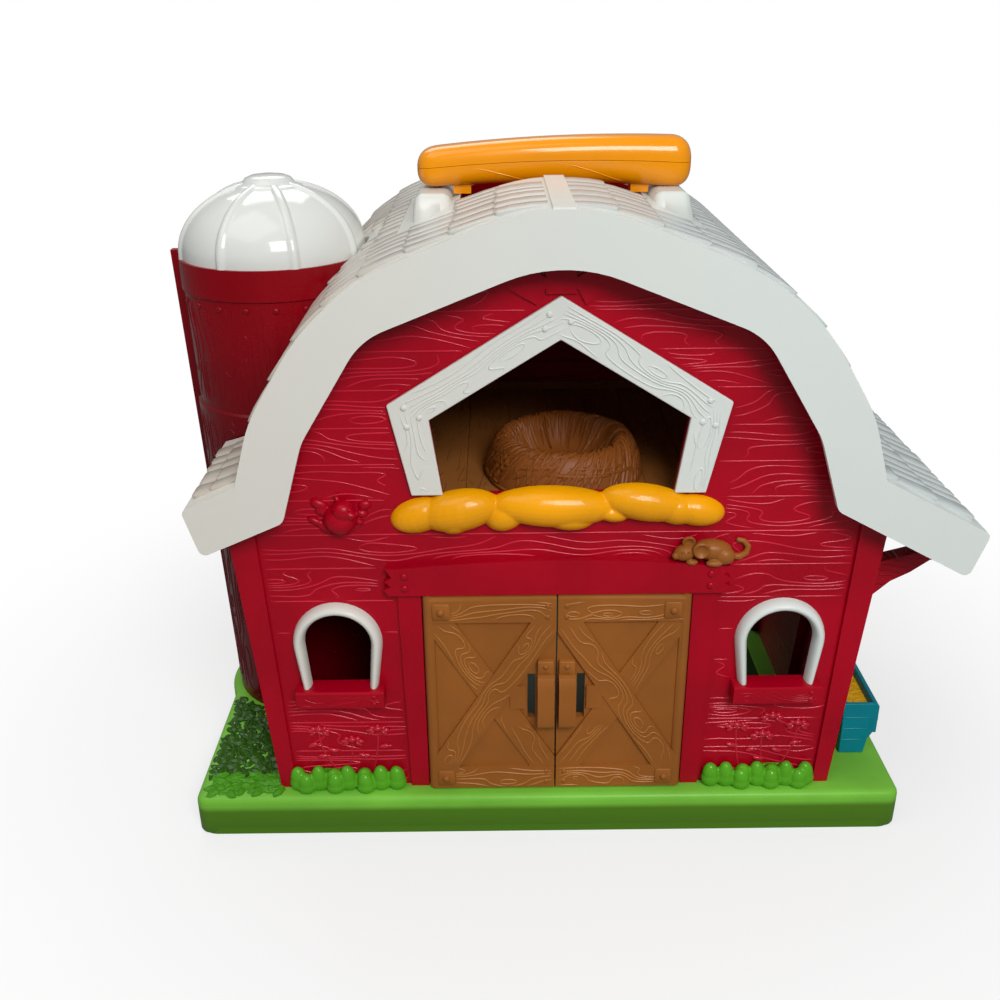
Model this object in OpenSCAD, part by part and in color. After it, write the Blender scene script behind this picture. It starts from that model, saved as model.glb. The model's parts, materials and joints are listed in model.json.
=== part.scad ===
// Carry-along toy barn with two hinged doors, a silo, a hay loft and a feed trough.
// Origin: middle of the whole footprint, on the ground. X is right, Y is back, Z is up.

/* [Base] */
// Width of the base plate
base_w = 333; // [310:1:350]
// Depth of the base plate
base_d = 220; // [214:1:228]
// Height of the base plate
base_h = 20.5; // [18:0.5:26]
// Wall thickness of the base shell
base_t = 2.6; // [2:0.1:3.5]
// Radius of the base plate's top edge
base_edge_r = 7.5; // [5:0.5:8.5]
// How far the base reaches past the silo's foot
base_apron = 4.7; // [4:0.1:7]

/* [Barn walls] */
// Sideways place of the barn's middle
barn_x = 0; // [-3.5:0.5:2.5]
// Distance from the middle to the front of the front wall
wall_front = 99.5; // [96:0.1:101]
// Thickness of the barn walls
wall_t = 2.5; // [2:0.1:3]
// Half the width of the barn at the base plate
wall_half_foot = 130.2; // [127:0.1:133]
// How many degrees the side walls lean outward
wall_lean = 4.7; // [3:0.1:6]
// Width of the raised corner boards at the base
corner_board_w = 7; // [6:0.5:10]
// How far raised boards stand off the wall
board_lift = 1.8; // [1:0.1:2]

/* [Roof] */
// Distance from the middle to the front of the roof
roof_reach = 115; // [112:0.5:118]
// Height of the point where the two upper roof slopes would meet
ridge_z = 297.8; // [290:0.1:302]
// Thickness of the roof shell
roof_t = 2.5; // [2:0.1:3.5]
// Depth of the flat trim board round the front and back of the roof
fascia_w = 22; // [18:0.5:24]
// Thickness of that trim board
fascia_t = 3; // [2.5:0.5:4]
// Width of the ridge strip
ridge_strip_w = 8.6; // [6:0.2:12]

/* [Doors] */
// Width of the pair of doors
door_pair_w = 118.2; // [110:0.2:120]
// Height of a door
door_height = 103.4; // [98:0.1:105]
// Radius of the round edge that the hinge pins stand on
door_edge_r = 2.6; // [2.4:0.1:2.8]
// Radius of the hinge pins
pin_r = 1.8; // [1.5:0.1:2]
// Gap round a hinge pin in its socket
pin_fit = 0.06; // [0.03:0.01:0.1]
// Gap between the doors and what is round them
door_gap = 0.6; // [0.5:0.1:1]
// Height of a door pull
pull_h = 29; // [24:1:32]

/* [Windows] */
// Distance from the barn's middle to the middle of a small window
window_x = 99; // [97:0.2:101]
// Radius of the middle of the arched window frame
window_r = 17.4; // [16:0.1:18]
// Height of the centre of the window arch
window_z = 100.4; // [98:0.1:102]
// Width of the window frame's rounded bar
window_bar_w = 5.2; // [4.8:0.1:6]
// Height of the top of the window sill
sill_z = 78.1; // [76:0.1:80]

/* [Loft] */
// Height of the top of the loft floor
loft_z = 165.5; // [162:0.5:168]
// Distance from the middle to the back edge of the loft floor
loft_back = 60; // [50:1:70]
// Pitch of the floor planks
plank_pitch = 20; // [16:0.5:24]
// Radius of the nest
nest_r = 36; // [32:0.5:38]
// Height of the nest
nest_h = 19.5; // [17:0.5:23]

/* [Silo] */
// Sideways place of the silo's axis
silo_x = -130; // [-131.5:0.5:-127.5]
// Radius of the silo at its rim
silo_r = 43.6; // [42:0.1:44]
// Height of the silo's rim
silo_rim_z = 254.7; // [248:0.1:258]
// Height of the step between the silo's two sections
silo_step_z = 186; // [180:1:192]
// Thickness of the silo wall
silo_t = 2.5; // [2:0.1:3]
// Height of the dome above the rim
dome_h = 32; // [28:0.5:36]
// Number of ribs on the dome
dome_ribs = 8; // [6:1:12]

/* [Handle] */
// Length of the handle
handle_len = 124; // [118:1:128]
// Thickness of the handle
handle_t = 20; // [17:0.5:21]
// Height of the underside of the handle at its ends
handle_z = 284.3; // [283:0.1:287]
// How far the middle of the handle is bowed up
handle_bow = 2.5; // [0:0.5:4]
// Depth of the handle from front to back
handle_d = 21; // [18:0.5:24]

/* [Trough] */
// Length of the trough
trough_len = 84; // [60:1:100]
// Height of the trough
trough_h = 29; // [24:0.5:32]
// Width of the trough at its foot
trough_foot_w = 12; // [10:0.5:13]

/* [Hidden] */
$fn = 64;
// Small overlap that makes joined shapes one solid
bite = 0.4;
// Gap between pieces that are seated on each other
seat_gap = 0.1;

// Doorway, worked out from the doors
door_half = door_pair_w / 2;
door_z = base_h + 1;
door_top = door_z + door_height;
pin_x = door_half - door_edge_r;
pin_y = -wall_front - 2.3;
relief_t = 1.6;
door_front = pin_y - door_edge_r;
door_back = pin_y + door_edge_r;
leaf_front = door_front + relief_t;
jamb_x = door_half + door_gap;
lintel_z = door_top + door_gap;
lintel_h = 16.8;
lintel_drop = 3.6;
door_post_w = 10.4;
door_post_foot_w = 8.3;
lintel_half = 75.6;
lintel_front = pin_y - 2;
pin_len = 4.6;

// Place of the base plate's middle, and its corner and apron radii
base_x = -3.5;
base_corner_r = base_edge_r + 1.5;
apron_edge_r = 3;

// Silo radii, worked out from the rim
silo_band_h = 14.5;
silo_band_lift = 0.7;
silo_upper_foot_r = silo_r - 1.6;
silo_lower_top_r = silo_r - 0.4;
silo_foot_r = silo_r - 3.8;
silo_clear_r = silo_r + silo_band_lift + 0.6;
flange_w_top = silo_r + 5.2;
flange_w_foot = silo_foot_r + 1.2;
flange_t = 2.2;

// Roof line from the short left eave over the ridge to the right eave, and its rounding radii
roof_corners = [[-155.3, 172.5], [-132.2, 182.6], [-124, 210.3], [-92.35, 261.1], [0, ridge_z],
    [92.35, 261.1], [124, 210.3], [132.2, 182.6], [178.9, 157.9]];
roof_radii = [0, 2, 70, 100, 80, 100, 70, 2, 0];
under_radii = [0, 4, 60, 97, 77, 97, 60, 4, 0];
trim_radii = [0, 5, 30, 30, 60, 30, 30, 5, 0];
// How far the lower corner of the trim board's ends reaches past the square end
eave_slant = 5;
// Radius of the trim boards' tips, and how far the roof shell stops short of them
tip_r = 3;
tip_back = 1.6;

// Ground-floor feet and screw posts, from the barn's middle
post_r = 4.2;
screw_r = 1.5;
screw_head_r = 3;
screw_head_h = 2;
screw_bite = 12;
corner_post_y = wall_front - 9.7;
door_side_y = wall_front - 7.7;
corner_posts = [[-116, -corner_post_y], [116, -corner_post_y], [-66, -door_side_y], [66, -door_side_y],
    [-116, corner_post_y], [116, corner_post_y]];
silo_posts = [[silo_x, -31], [silo_x, 31]];
roof_posts = [[-58, -door_side_y], [58, -door_side_y], [-58, door_side_y], [58, door_side_y]];
roof_lug_z = 238;

// Finger well under the handle
well_half_x = 41;
well_front = -31;
well_back = 24;
well_floor_z = 261;
well_t = 2;
ear_x = 53;
ear_half_w = 8.5;
handle_y = -5;
handle_x = barn_x + 1.5;

function unit(v) = v / norm(v);
function left_of(v) = [-v[1], v[0]];
function cross_of(a, b) = a[0] * b[1] - a[1] * b[0];
function turned(v, a) = [v[0] * cos(a) - v[1] * sin(a), v[0] * sin(a) + v[1] * cos(a)];
function way(pts, i) = unit(pts[i + 1] - pts[i]);
// Point where the line through p along d meets the line through q along e
function meet(p, d, q, e) = p + d * cross_of(q - p, e) / cross_of(d, e);
// Open line moved sideways by d, to the right of its direction
function moved(pts, d) = [for (i = [0:len(pts) - 1])
    i == 0 ? pts[0] - d * left_of(way(pts, 0)) :
    i == len(pts) - 1 ? pts[i] - d * left_of(way(pts, i - 1)) :
    meet(pts[i] - d * left_of(way(pts, i - 1)), way(pts, i - 1),
        pts[i] - d * left_of(way(pts, i)), way(pts, i))];
// One corner of a line drawn as an arc of radius r
function corner_arc(a, p, b, r) = let (
    d = unit(p - a), e = unit(b - p), side = sign(cross_of(d, e)), bend = acos(min(1, d * e)),
    start = p - d * r * tan(bend / 2), mid = start + left_of(d) * r * side, steps = max(2, ceil(bend / 5)))
    [for (k = [0:steps]) mid + turned(start - mid, side * bend * k / steps)];
// Open line with each corner rounded by its own radius
function rounded(pts, radii) = [for (i = [0:len(pts) - 1])
    each (i == 0 || i == len(pts) - 1 || radii[i] == 0 ? [pts[i]] :
        corner_arc(pts[i - 1], pts[i], pts[i + 1], radii[i]))];
// Closed outline with every corner rounded by r
function soft_outline(pts, r) = [for (i = [0:len(pts) - 1])
    each corner_arc(pts[(i + len(pts) - 1) % len(pts)], pts[i], pts[(i + 1) % len(pts)], r)];
// Open line cut short by d at both ends
function short_ends(pts, d) = [for (i = [0:len(pts) - 1])
    i == 0 ? pts[0] + d * way(pts, 0) : i == len(pts) - 1 ? pts[i] - d * way(pts, i - 1) : pts[i]];
function backwards(pts) = [for (i = [len(pts) - 1:-1:0]) pts[i]];
function mirrored(pts) = [for (p = pts) [-p[0], p[1]]];

// Lines of the roof's outside, its underside and the room left for the walls
roof_outer = rounded(roof_corners, roof_radii);
shell_corners = short_ends(roof_corners, tip_back);
shell_outer = rounded(shell_corners, roof_radii);
roof_under = rounded(moved(shell_corners, roof_t), under_radii);
wall_room = rounded(moved(roof_corners, roof_t + seat_gap), under_radii);
trim_corners = moved(roof_corners, fascia_w);
trim_shift = [[0, 0], [0, 0], [0, 0], [0, 0], [0, 0], [0, 0], [0, 0], [0.3, 1.8], [-0.6, 1.6]];
trim_ends = [for (i = [0:len(trim_corners) - 1]) trim_shift[i] + (
    i == 0 ? trim_corners[0] - eave_slant * way(trim_corners, 0) * 0.6 :
    i == len(trim_corners) - 1 ? trim_corners[i] + eave_slant * way(trim_corners, i - 1) : trim_corners[i])];
trim_inner = rounded(trim_ends, trim_radii);
// Outline of a trim board with its four tips rounded
trim_sharp = concat(roof_outer, backwards(trim_inner));
tips = [0, len(roof_outer) - 1, len(roof_outer), len(trim_sharp) - 1];
trim_outline = [for (i = [0:len(trim_sharp) - 1])
    each (len(search(i, tips)) == 0 ? [trim_sharp[i]] :
        corner_arc(trim_sharp[(i + len(trim_sharp) - 1) % len(trim_sharp)], trim_sharp[i],
            trim_sharp[(i + 1) % len(trim_sharp)], tip_r))];

// Half the barn's outside width at height z
function wall_half(z) = wall_half_foot + (z - base_h) * tan(wall_lean);
// Height where the side wall meets the underside of the eave
eave_slope = (roof_corners[8][1] - roof_corners[7][1]) / (roof_corners[8][0] - roof_corners[7][0]);
eave_drop = (roof_t + seat_gap) / cos(atan(eave_slope));
eave_z = (roof_corners[7][1] - eave_drop + eave_slope * (wall_half_foot - base_h * tan(wall_lean)
    - roof_corners[7][0])) / (1 - eave_slope * tan(wall_lean));

// Shapes drawn in a plane and pushed along an axis
module along_y(y0, y1) translate([0, y1, 0]) rotate([90, 0, 0]) linear_extrude(y1 - y0) children();
module along_x(x0, x1) translate([x0, 0, 0]) rotate([90, 0, 90]) linear_extrude(x1 - x0) children();
module slab(x0, x1, y0, y1, z0, z1) translate([x0, y0, z0]) cube([x1 - x0, y1 - y0, z1 - z0]);
module post(x, y, z0, z1, r) translate([x, y, z0]) cylinder(r = r, h = z1 - z0);

// Base plate: a hollow green shell with ribs, screw posts and hinge sockets
module base_blank(inset, top) {
    hull()
        for (sx = [-1, 1], sy = [-1, 1])
            translate([base_x + sx * (base_w / 2 - base_corner_r), sy * (base_d / 2 - base_corner_r), 0])
                rounded_disc(base_corner_r - inset, top, inset, base_edge_r);
    translate([silo_x, 0, 0])
        rounded_disc(silo_foot_r + base_apron - inset, top, inset, apron_edge_r);
}

// Flat disc with a rounded top edge
module rounded_disc(r, top, inset, edge_r) {
    edge = max(0.6, edge_r - inset);
    rotate_extrude($fn = 48)
        polygon(concat([[0, -inset], [r, -inset]],
            [for (a = [0:15:90]) [r - edge + edge * cos(a), top - inset - edge + edge * sin(a)]],
            [[0, top - inset]]));
}

module base() color("limegreen") difference() {
    union() {
        difference() {
            base_blank(0, base_h);
            base_blank(base_t, base_h);
        }
        base_ribs();
        for (p = corner_posts)
            post(barn_x + p[0], p[1], screw_head_h + 3, base_h - 1, post_r);
        for (p = silo_posts)
            post(p[0], p[1], screw_head_h + 3, base_h - 1, post_r);
        for (s = [-1, 1])
            post(barn_x + s * pin_x, pin_y + 0.4, door_z - pin_len - 2.6, base_h - 1, 4);
    }
    for (s = [-1, 1])
        post(barn_x + s * pin_x, pin_y, door_z - pin_len - 0.4, base_h + 1, pin_r + pin_fit);
    for (p = corner_posts)
        screw_way(barn_x + p[0], p[1], screw_head_h + 3, base_h);
    for (p = silo_posts)
        screw_way(p[0], p[1], screw_head_h + 3, base_h);
}

// Clearance hole of a screw with the room for its head
module screw_way(x, y, z0, z1) {
    post(x, y, z0 - 1, z1 + 1, screw_r + 0.2);
    post(x, y, z0 - 1, z0 + screw_head_h + seat_gap, screw_head_r + 0.3);
}

// Stiffening ribs under the base plate
module base_ribs() {
    rib_z = 9;
    half_x = base_w / 2 - base_edge_r;
    half_y = base_d / 2 - base_edge_r;
    for (x = [-88, -30, 37, 100])
        slab(base_x + x - 0.9, base_x + x + 0.9, -half_y, half_y, rib_z, base_h - 1);
    for (y = [-52, 0, 52])
        slab(base_x - half_x, base_x + half_x, y - 0.9, y + 0.9, rib_z, base_h - 1);
}

// Row of leafy mounds that stands against the front wall beside the doors
module hedge(side) {
    foot_r = 4.9;
    near = jamb_x + door_post_foot_w;
    far = wall_half_foot - corner_board_w;
    pitch = (far - near - 2 * foot_r - 1) / 4;
    first = side * (near + far) / 2 - 2 * pitch;
    difference() {
        intersection() {
            slab(-base_w / 2, base_w / 2, -base_d / 2, -wall_front - seat_gap, base_h - mound_root, base_h + 20);
            union() {
                for (i = [0:4])
                    mound(barn_x + first + i * pitch, -wall_front - 2.6, foot_r, 10.5);
                for (i = [0:3])
                    mound(barn_x + first + (i + 0.5) * pitch, -wall_front - 0.4, 4.4, 12.5);
            }
        }
        along_x(-base_w / 2, base_w / 2)
            polygon(concat([[-80, base_h - 15], [-80, base_h]],
                [for (a = [90:-15:0]) [-base_d / 2 + base_edge_r * (1 - cos(a)),
                    base_h + base_edge_r * (sin(a) - 1)]], [[-base_d / 2, base_h - 15]]));
    }
}

module hedge_left() color("forestgreen") hedge(-1);
module hedge_right() color("forestgreen") hedge(1);

// Rounded mound of height h whose root reaches below the top of the base, to be cut to the base's edge
mound_root = 3;
module mound(x, y, r, h) translate([x, y, base_h])
    rotate_extrude($fn = 32)
        polygon(concat([[0, -mound_root], [r, -mound_root]],
            [for (a = [0:15:75]) [r * cos(a), 2.5 + (h - 2.5) * sin(a)]], [[0, h]]));

// Barn walls: one moulding in front of the middle and one behind it
module wall_plate(y0, y1) translate([barn_x, 0, 0]) intersection() {
    along_y(y0, y1)
        polygon(concat([[-170, base_h]], wall_room, [[170, base_h]]));
    along_y(y0 - 1, y1 + 1)
        polygon([[-wall_half(base_h), base_h], [wall_half(base_h), base_h],
            [wall_half(300), 300], [-wall_half(300), 300]]);
}

// Side wall strip on side s, from y0 to y1
module side_wall(s, y0, y1) translate([barn_x, 0, 0]) {
    along_y(y0, y1)
        polygon([for (p = [[wall_half(base_h) - wall_t, base_h], [wall_half(base_h), base_h],
            [wall_half(eave_z), eave_z], [wall_half(eave_z) - wall_t, eave_z + eave_slope * -wall_t]])
            [s * p[0], p[1]]]);
}

// Leaning rib inside a side wall
module wall_rib(s, y) translate([barn_x, 0, 0])
    along_y(y - 1, y + 1)
        polygon([for (p = [[wall_half(base_h) - wall_t - 4, base_h], [wall_half(base_h) - 1, base_h],
            [wall_half(150) - 1, 150], [wall_half(150) - wall_t - 4, 150]]) [s * p[0], p[1]]]);

// Hollow screw post on the inside of a wall, tied to it by a web
module wall_post(p) translate([barn_x, 0, 0]) difference() {
    out = sign(p[1]);
    union() {
        post(p[0], p[1], base_h, base_h + 20, post_r);
        slab(p[0] - 1, p[0] + 1, min(p[1], out * (wall_front - 1)), max(p[1], out * (wall_front - 1)),
            base_h, base_h + 20);
    }
    post(p[0], p[1], base_h - 1, base_h + screw_bite + 2, screw_r);
}

// Lug on a gable that a roof screw passes through
module roof_lug(p) translate([barn_x, 0, 0]) {
    out = sign(p[1]);
    lug_from = door_side_y - 7;
    difference() {
        slab(p[0] - 7, p[0] + 7, min(out * lug_from, out * (wall_front - 1)), max(out * lug_from, out * (wall_front - 1)),
            roof_lug_z, roof_lug_z + 3);
        post(p[0], p[1] - out * 1, roof_lug_z - 1, roof_lug_z + 4, screw_r + 0.2);
    }
}

// Ledge that carries the loft floor along a wall
module loft_ledge(y0, y1) {
    ledge_z = loft_z - 3 - seat_gap;
    half = wall_half(ledge_z) - wall_t;
    translate([barn_x, 0, 0])
        along_y(y0, y1)
            polygon([[half - 5, ledge_z], [half + 1, ledge_z], [half + 1, ledge_z - 8], [half, ledge_z - 8],
                [half - 5, ledge_z - 2]]);
}

// Arched hole behind a small window frame
module window_hole(s) {
    inner_r = window_r - window_bar_w / 2 + 0.6;
    foot_half = leg_foot_x - leg_foot_w / 2 + 0.6;
    translate([barn_x + window_shift + s * window_x, 0, 0]) {
        translate([0, -wall_front - 4, window_z])
            rotate([-90, 0, 0])
                cylinder(r = inner_r, h = wall_t + 8);
        along_y(-wall_front - 4, -wall_front + wall_t + 4)
            polygon([[-foot_half, sill_z], [foot_half, sill_z], [inner_r, window_z], [-inner_r, window_z]]);
    }
}

// Outlines of the loft window, from the barn's middle
loft_outer = [[-61.8, 172.4], [-70.4, 212.4], [0, 256.5], [70.4, 212.4], [61.8, 172.4]];
loft_inner = [[-48.6, 172.4], [-53.4, 205.8], [0, 239], [53.4, 205.8], [48.6, 172.4]];

// Raised board on the front wall between two points, from the barn's middle
module wall_board(a, b, w, lift) {
    d = unit(b - a);
    n = left_of(d) * w / 2;
    intersection() {
        wall_plate(-wall_front - lift, -wall_front + bite);
        translate([barn_x, 0, 0])
            along_y(-wall_front - lift - 1, -wall_front + bite + 1)
                polygon([a - n, b - n, b + n, a + n]);
    }
}

// Raised board on the front wall with upright sides
module wall_block(x0, x1, z0, z1, lift) translate([barn_x, 0, 0])
    slab(x0, x1, -wall_front - lift, -wall_front + bite, z0, z1);

module corner_board(s) translate([barn_x, 0, 0])
    along_y(-wall_front - board_lift, -wall_front + bite)
        polygon([for (p = [[wall_half(base_h) - corner_board_w, base_h], [wall_half(base_h), base_h],
            [wall_half(163), 163], [wall_half(163) - corner_board_w - 5, 163]]) [s * p[0], p[1]]]);

// Cross board above the doors, slightly bowed, with split ends
module lintel() translate([barn_x, 0, 0])
    along_y(lintel_front, -wall_front + bite) {
        right = [[lintel_half - 2, lintel_z], [lintel_half, lintel_z + 3], [lintel_half - 3, lintel_z + 4.5],
            [lintel_half - 0.5, lintel_z + 7], [lintel_half - 3.5, lintel_z + 9],
            [lintel_half - 1, lintel_z + lintel_h - lintel_drop]];
        polygon(concat(right, [for (k = [1:-0.25:-1]) [k * (lintel_half - 6), lintel_z + lintel_h - k * k * lintel_drop]],
            backwards(mirrored(right))));
    }

module window_sill(s) translate([barn_x + window_shift + s * window_x, 0, 0])
    along_x(-sill_half, sill_half)
        polygon([[-wall_front + bite, sill_z], [-wall_front - sill_d + 0.5, sill_z],
            [-wall_front - sill_d, sill_z - 1], [-wall_front - sill_d + 0.4, sill_z - sill_h + 1],
            [-wall_front + bite, sill_z - sill_h]]);

module front_shell() color("crimson") difference() {
    union() {
        wall_plate(-wall_front, -wall_front + wall_t);
        side_wall(1, -wall_front + 1, 0);
        side_wall(-1, -wall_front + 1, 0);
        for (y = [-70, -38])
            wall_rib(1, y);
        wall_rib(-1, -70);
        loft_ledge(-wall_front + 1, 0);
        slab(barn_x - 130, barn_x + 130, -wall_front + 1, -wall_front + wall_t + 4, loft_z - 6,
            loft_z - 3 - seat_gap);
        for (i = [0:3])
            wall_post(corner_posts[i]);
        roof_lug(roof_posts[0]);
        roof_lug(roof_posts[1]);
        for (s = [-1, 1]) {
            corner_board(s);
            window_sill(s);
            door_post(s);
            door_stop(s);
            wall_board([s * 7, 257.8], [s * 46.6, 280], 11, 1.2);
        }
        wall_block(-6, 6, loft_outer[2][1] + 0.6, 283, 1.2);
        lintel();
        roof_brace(-86);
    }
    doorway();
    window_hole(1);
    window_hole(-1);
    translate([barn_x, 0, 0])
        along_y(-wall_front - 3, -wall_front + 12)
            polygon(loft_inner);
    for (s = [-1, 1])
        post(barn_x + s * pin_x, pin_y, door_top - 1, door_top + pin_len + 0.4, pin_r + pin_fit);
    silo_room();
    trim_room(-1);
}

// Upright boards each side of the doors
module door_post(s) translate([barn_x, 0, 0])
    along_y(-wall_front - board_lift, -wall_front + bite)
        polygon([for (p = [[jamb_x, base_h], [jamb_x + door_post_foot_w, base_h],
            [jamb_x + door_post_w, lintel_z + bite], [jamb_x, lintel_z + bite]]) [s * p[0], p[1]]]);

// Lip that the shut door rests against
stop_w = 5;
stop_top_w = 4;
module door_stop(s) {
    translate([barn_x, 0, 0]) {
        slab(min(s * (jamb_x - stop_w), s * (jamb_x + 2)), max(s * (jamb_x - stop_w), s * (jamb_x + 2)),
            door_back + door_gap, -wall_front + wall_t + 1.8, base_h, lintel_z + 3);
        slab(-jamb_x, jamb_x, door_back + door_gap, -wall_front + wall_t + 1.8, lintel_z - stop_top_w,
            lintel_z + 3);
    }
}

module doorway() translate([barn_x, 0, 0]) {
    slab(-jamb_x, jamb_x, -wall_front - 12, door_back + door_gap - 0.01, base_h - 1, lintel_z);
    slab(-jamb_x + stop_w, jamb_x - stop_w, -wall_front - 12, -wall_front + 12, base_h - 1, lintel_z - stop_top_w);
}

// Slanted brace on the right that carries the long eave
module roof_brace(y) translate([barn_x, 0, 0])
    along_y(y - 4, y + 4)
        polygon([[wall_half(112) - 1, 110], [150, 122.8], [158.3, 127.3], [166.3, 133.3], [169.3, 133.7],
            [169.3, eave_under(169.3)], [160.5, eave_under(160.5)], [160.5, 136.9], [wall_half(131) - 1, 131]]);
// Height of the eave's underside at distance x from the barn's middle, less the seat gap
function eave_under(x) = roof_corners[7][1] - eave_drop + eave_slope * (x - roof_corners[7][0]);

// Room that the walls leave for the roof's trim boards
module trim_room(s) translate([barn_x, 0, 0])
    along_y(min(s * (roof_reach - fascia_t - seat_gap), s * (roof_reach + 20)),
        max(s * (roof_reach - fascia_t - seat_gap), s * (roof_reach + 20)))
        polygon(concat(roof_outer, backwards(trim_inner)));

// Room that the walls leave for the silo
module silo_room() post(silo_x, 0, -1, silo_rim_z + 60, silo_clear_r);

module back_shell() color("crimson") difference() {
    union() {
        wall_plate(wall_front - wall_t, wall_front);
        side_wall(1, 0, wall_front - 1);
        side_wall(-1, 0, wall_front - 1);
        for (y = [38, 70])
            wall_rib(1, y);
        wall_rib(-1, 70);
        loft_ledge(0, loft_back + 8);
        wall_post(corner_posts[4]);
        wall_post(corner_posts[5]);
        roof_lug(roof_posts[2]);
        roof_lug(roof_posts[3]);
        roof_brace(86);
    }
    back_opening();
    silo_room();
    trim_room(1);
}

// Wide opening in the back wall that small hands reach through
module back_opening() translate([barn_x, 0, 0])
    along_y(wall_front - wall_t - 3, wall_front + 3)
        polygon(soft_outline([[-104, base_h + 4], [104, base_h + 4], [104, 146], [-104, 146]], 16));

// Silo: two half tubes that meet at a flat flange
module silo_tube() rotate_extrude()
    polygon([[silo_foot_r - silo_t, base_h], [silo_foot_r, base_h], [silo_lower_top_r, silo_step_z],
        [silo_upper_foot_r, silo_step_z + 1], [silo_r - 0.3, silo_rim_z - silo_band_h],
        [silo_r + silo_band_lift, silo_rim_z - silo_band_h + 0.6], [silo_r + silo_band_lift, silo_rim_z],
        [silo_r - silo_t, silo_rim_z], [silo_r - silo_t, silo_step_z + 4],
        [silo_upper_foot_r - silo_t, silo_step_z], [silo_lower_top_r - silo_t - 0.8, silo_step_z - 4]]);

module silo_half(s) translate([silo_x, 0, 0]) difference() {
    union() {
        intersection() {
            silo_tube();
            slab(-60, 60, min(0, s * 60), max(0, s * 60), base_h - 1, silo_rim_z + 1);
        }
        along_y(min(0, s * flange_t), max(0, s * flange_t))
            polygon([[-flange_w_foot, base_h], [-flange_w_top, silo_rim_z + 1.5],
                [-silo_r + 1, silo_rim_z + 1.5], [-silo_r + 1, silo_rim_z], [-silo_upper_foot_r + 1, silo_step_z],
                [-silo_foot_r + 1, base_h]]);
        post(0, s * 31, base_h, base_h + 18, post_r);
        slab(-1, 1, min(s * 31, s * (silo_foot_r - 1)), max(s * 31, s * (silo_foot_r - 1)), base_h, base_h + 18);
    }
    post(0, s * 31, base_h - 1, base_h + screw_bite + 2, screw_r);
    translate([0, 0, silo_rim_z])
        cylinder(r = silo_r + silo_band_lift + 0.2, h = 10);
}

module silo_front() color("firebrick") silo_half(-1);
module silo_back() color("firebrick") silo_half(1);

// Dome: a ribbed cap with a flat button on top and a skirt inside the rim
function dome_line(lift) = [for (a = [0:9:81]) [(silo_r - 0.6 + lift) * cos(a),
    silo_rim_z + 2 + (dome_h - 2 + lift) * sin(a)]];

module silo_dome() color("whitesmoke") translate([silo_x, 0, 0]) {
    skirt_r = silo_r - silo_t - 0.15;
    rotate_extrude()
        polygon(concat([[skirt_r - 2, silo_rim_z - 6], [skirt_r, silo_rim_z - 6], [skirt_r, silo_rim_z],
            [silo_r - 0.6, silo_rim_z]], dome_line(0), [[0, silo_rim_z + dome_h]],
            [[0, silo_rim_z + dome_h - 2.2]], backwards(dome_line(-2.2)), [[skirt_r - 2, silo_rim_z]]));
    for (i = [0:dome_ribs - 1])
        rotate([0, 0, (i + 0.5) * 360 / dome_ribs - 1.8])
            rotate_extrude(angle = 3.6)
                polygon(concat([[silo_r - 1.6, silo_rim_z + 0.3], [silo_r + 0.5, silo_rim_z + 0.3]],
                    dome_line(1.1), backwards(dome_line(-1))));
    translate([0, 0, silo_rim_z + dome_h - 1.6])
        rotate_extrude()
            polygon([[0, 0], [13.4, 0], [13.4, 3], [11.5, 4.6], [0, 5]]);
}

// Roof: a thin shell with flat trim boards, two ears for the handle and a hole for the fingers
module roof_band(outside, inside, y0, y1) translate([barn_x, 0, 0])
    along_y(y0, y1)
        polygon(concat(outside, backwards(inside)));

module ear(s) translate([barn_x + s * ear_x, 0, 0]) intersection() {
    hull()
        for (x = [-1, 1], q = [[-46, 266], [-24, handle_z - 5], [13, handle_z - 5], [35, 266]])
            translate([x * (ear_half_w - 5), q[0], q[1]])
                sphere(r = 5, $fn = 24);
    slab(-20, 20, -60, 50, 268, handle_z + 1);
}

module roof() color("white") difference() {
    union() {
        difference() {
            union() {
                roof_band(shell_outer, roof_under, -roof_reach + 1, roof_reach - 1);
                ear(-1);
                ear(1);
            }
            translate([barn_x, 0, 0])
                along_y(-roof_reach - 5, roof_reach + 5)
                    polygon(concat([[-110, 200]], [for (p = roof_under) if (abs(p[0]) < 90) p], [[110, 200]]));
            for (s = [-1, 1])
                ear_hollow(s);
        }
        for (s = [-1, 1])
            translate([barn_x, 0, 0])
                along_y(min(s * roof_reach, s * (roof_reach - fascia_t)),
                    max(s * roof_reach, s * (roof_reach - fascia_t)))
                    polygon(trim_outline);
        slab(barn_x - ridge_strip_w / 2, barn_x + ridge_strip_w / 2, -roof_reach + 1, roof_reach - 1,
            roof_peak - roof_t + 0.5, roof_peak + 0.7);
        for (p = roof_posts)
            translate([barn_x, 0, 0])
                post(p[0], p[1] - sign(p[1]), roof_lug_z + 3 + seat_gap, roof_over(p[0]) - 1.2, 3.6);
    }
    for (p = roof_posts)
        translate([barn_x, 0, 0])
            post(p[0], p[1] - sign(p[1]), roof_lug_z, roof_lug_z + 3 + screw_bite, screw_r);
    slab(barn_x - well_half_x, barn_x + well_half_x, well_front, well_back, 240, 320);
    for (s = [-1, 1])
        post(handle_x + s * ear_x, handle_y, handle_z - 6, handle_z + 3, screw_r + 0.2);
    silo_room();
}

// Hollow inside an ear, open to the loft below
module ear_hollow(s) translate([barn_x + s * ear_x, 0, 0])
    along_x(-ear_half_w + 2.2, ear_half_w - 2.2)
        polygon([[-42, 260], [-21, handle_z - 2.6], [10, handle_z - 2.6], [31, 260]]);

// Height of the roof's highest line, and of the straight upper slope at distance x
upper_slope = (roof_corners[5][1] - ridge_z) / roof_corners[5][0];
roof_peak = ridge_z + roof_radii[4] - roof_radii[4] / cos(atan(upper_slope));
function roof_over(x) = ridge_z + upper_slope * abs(x);

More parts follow.
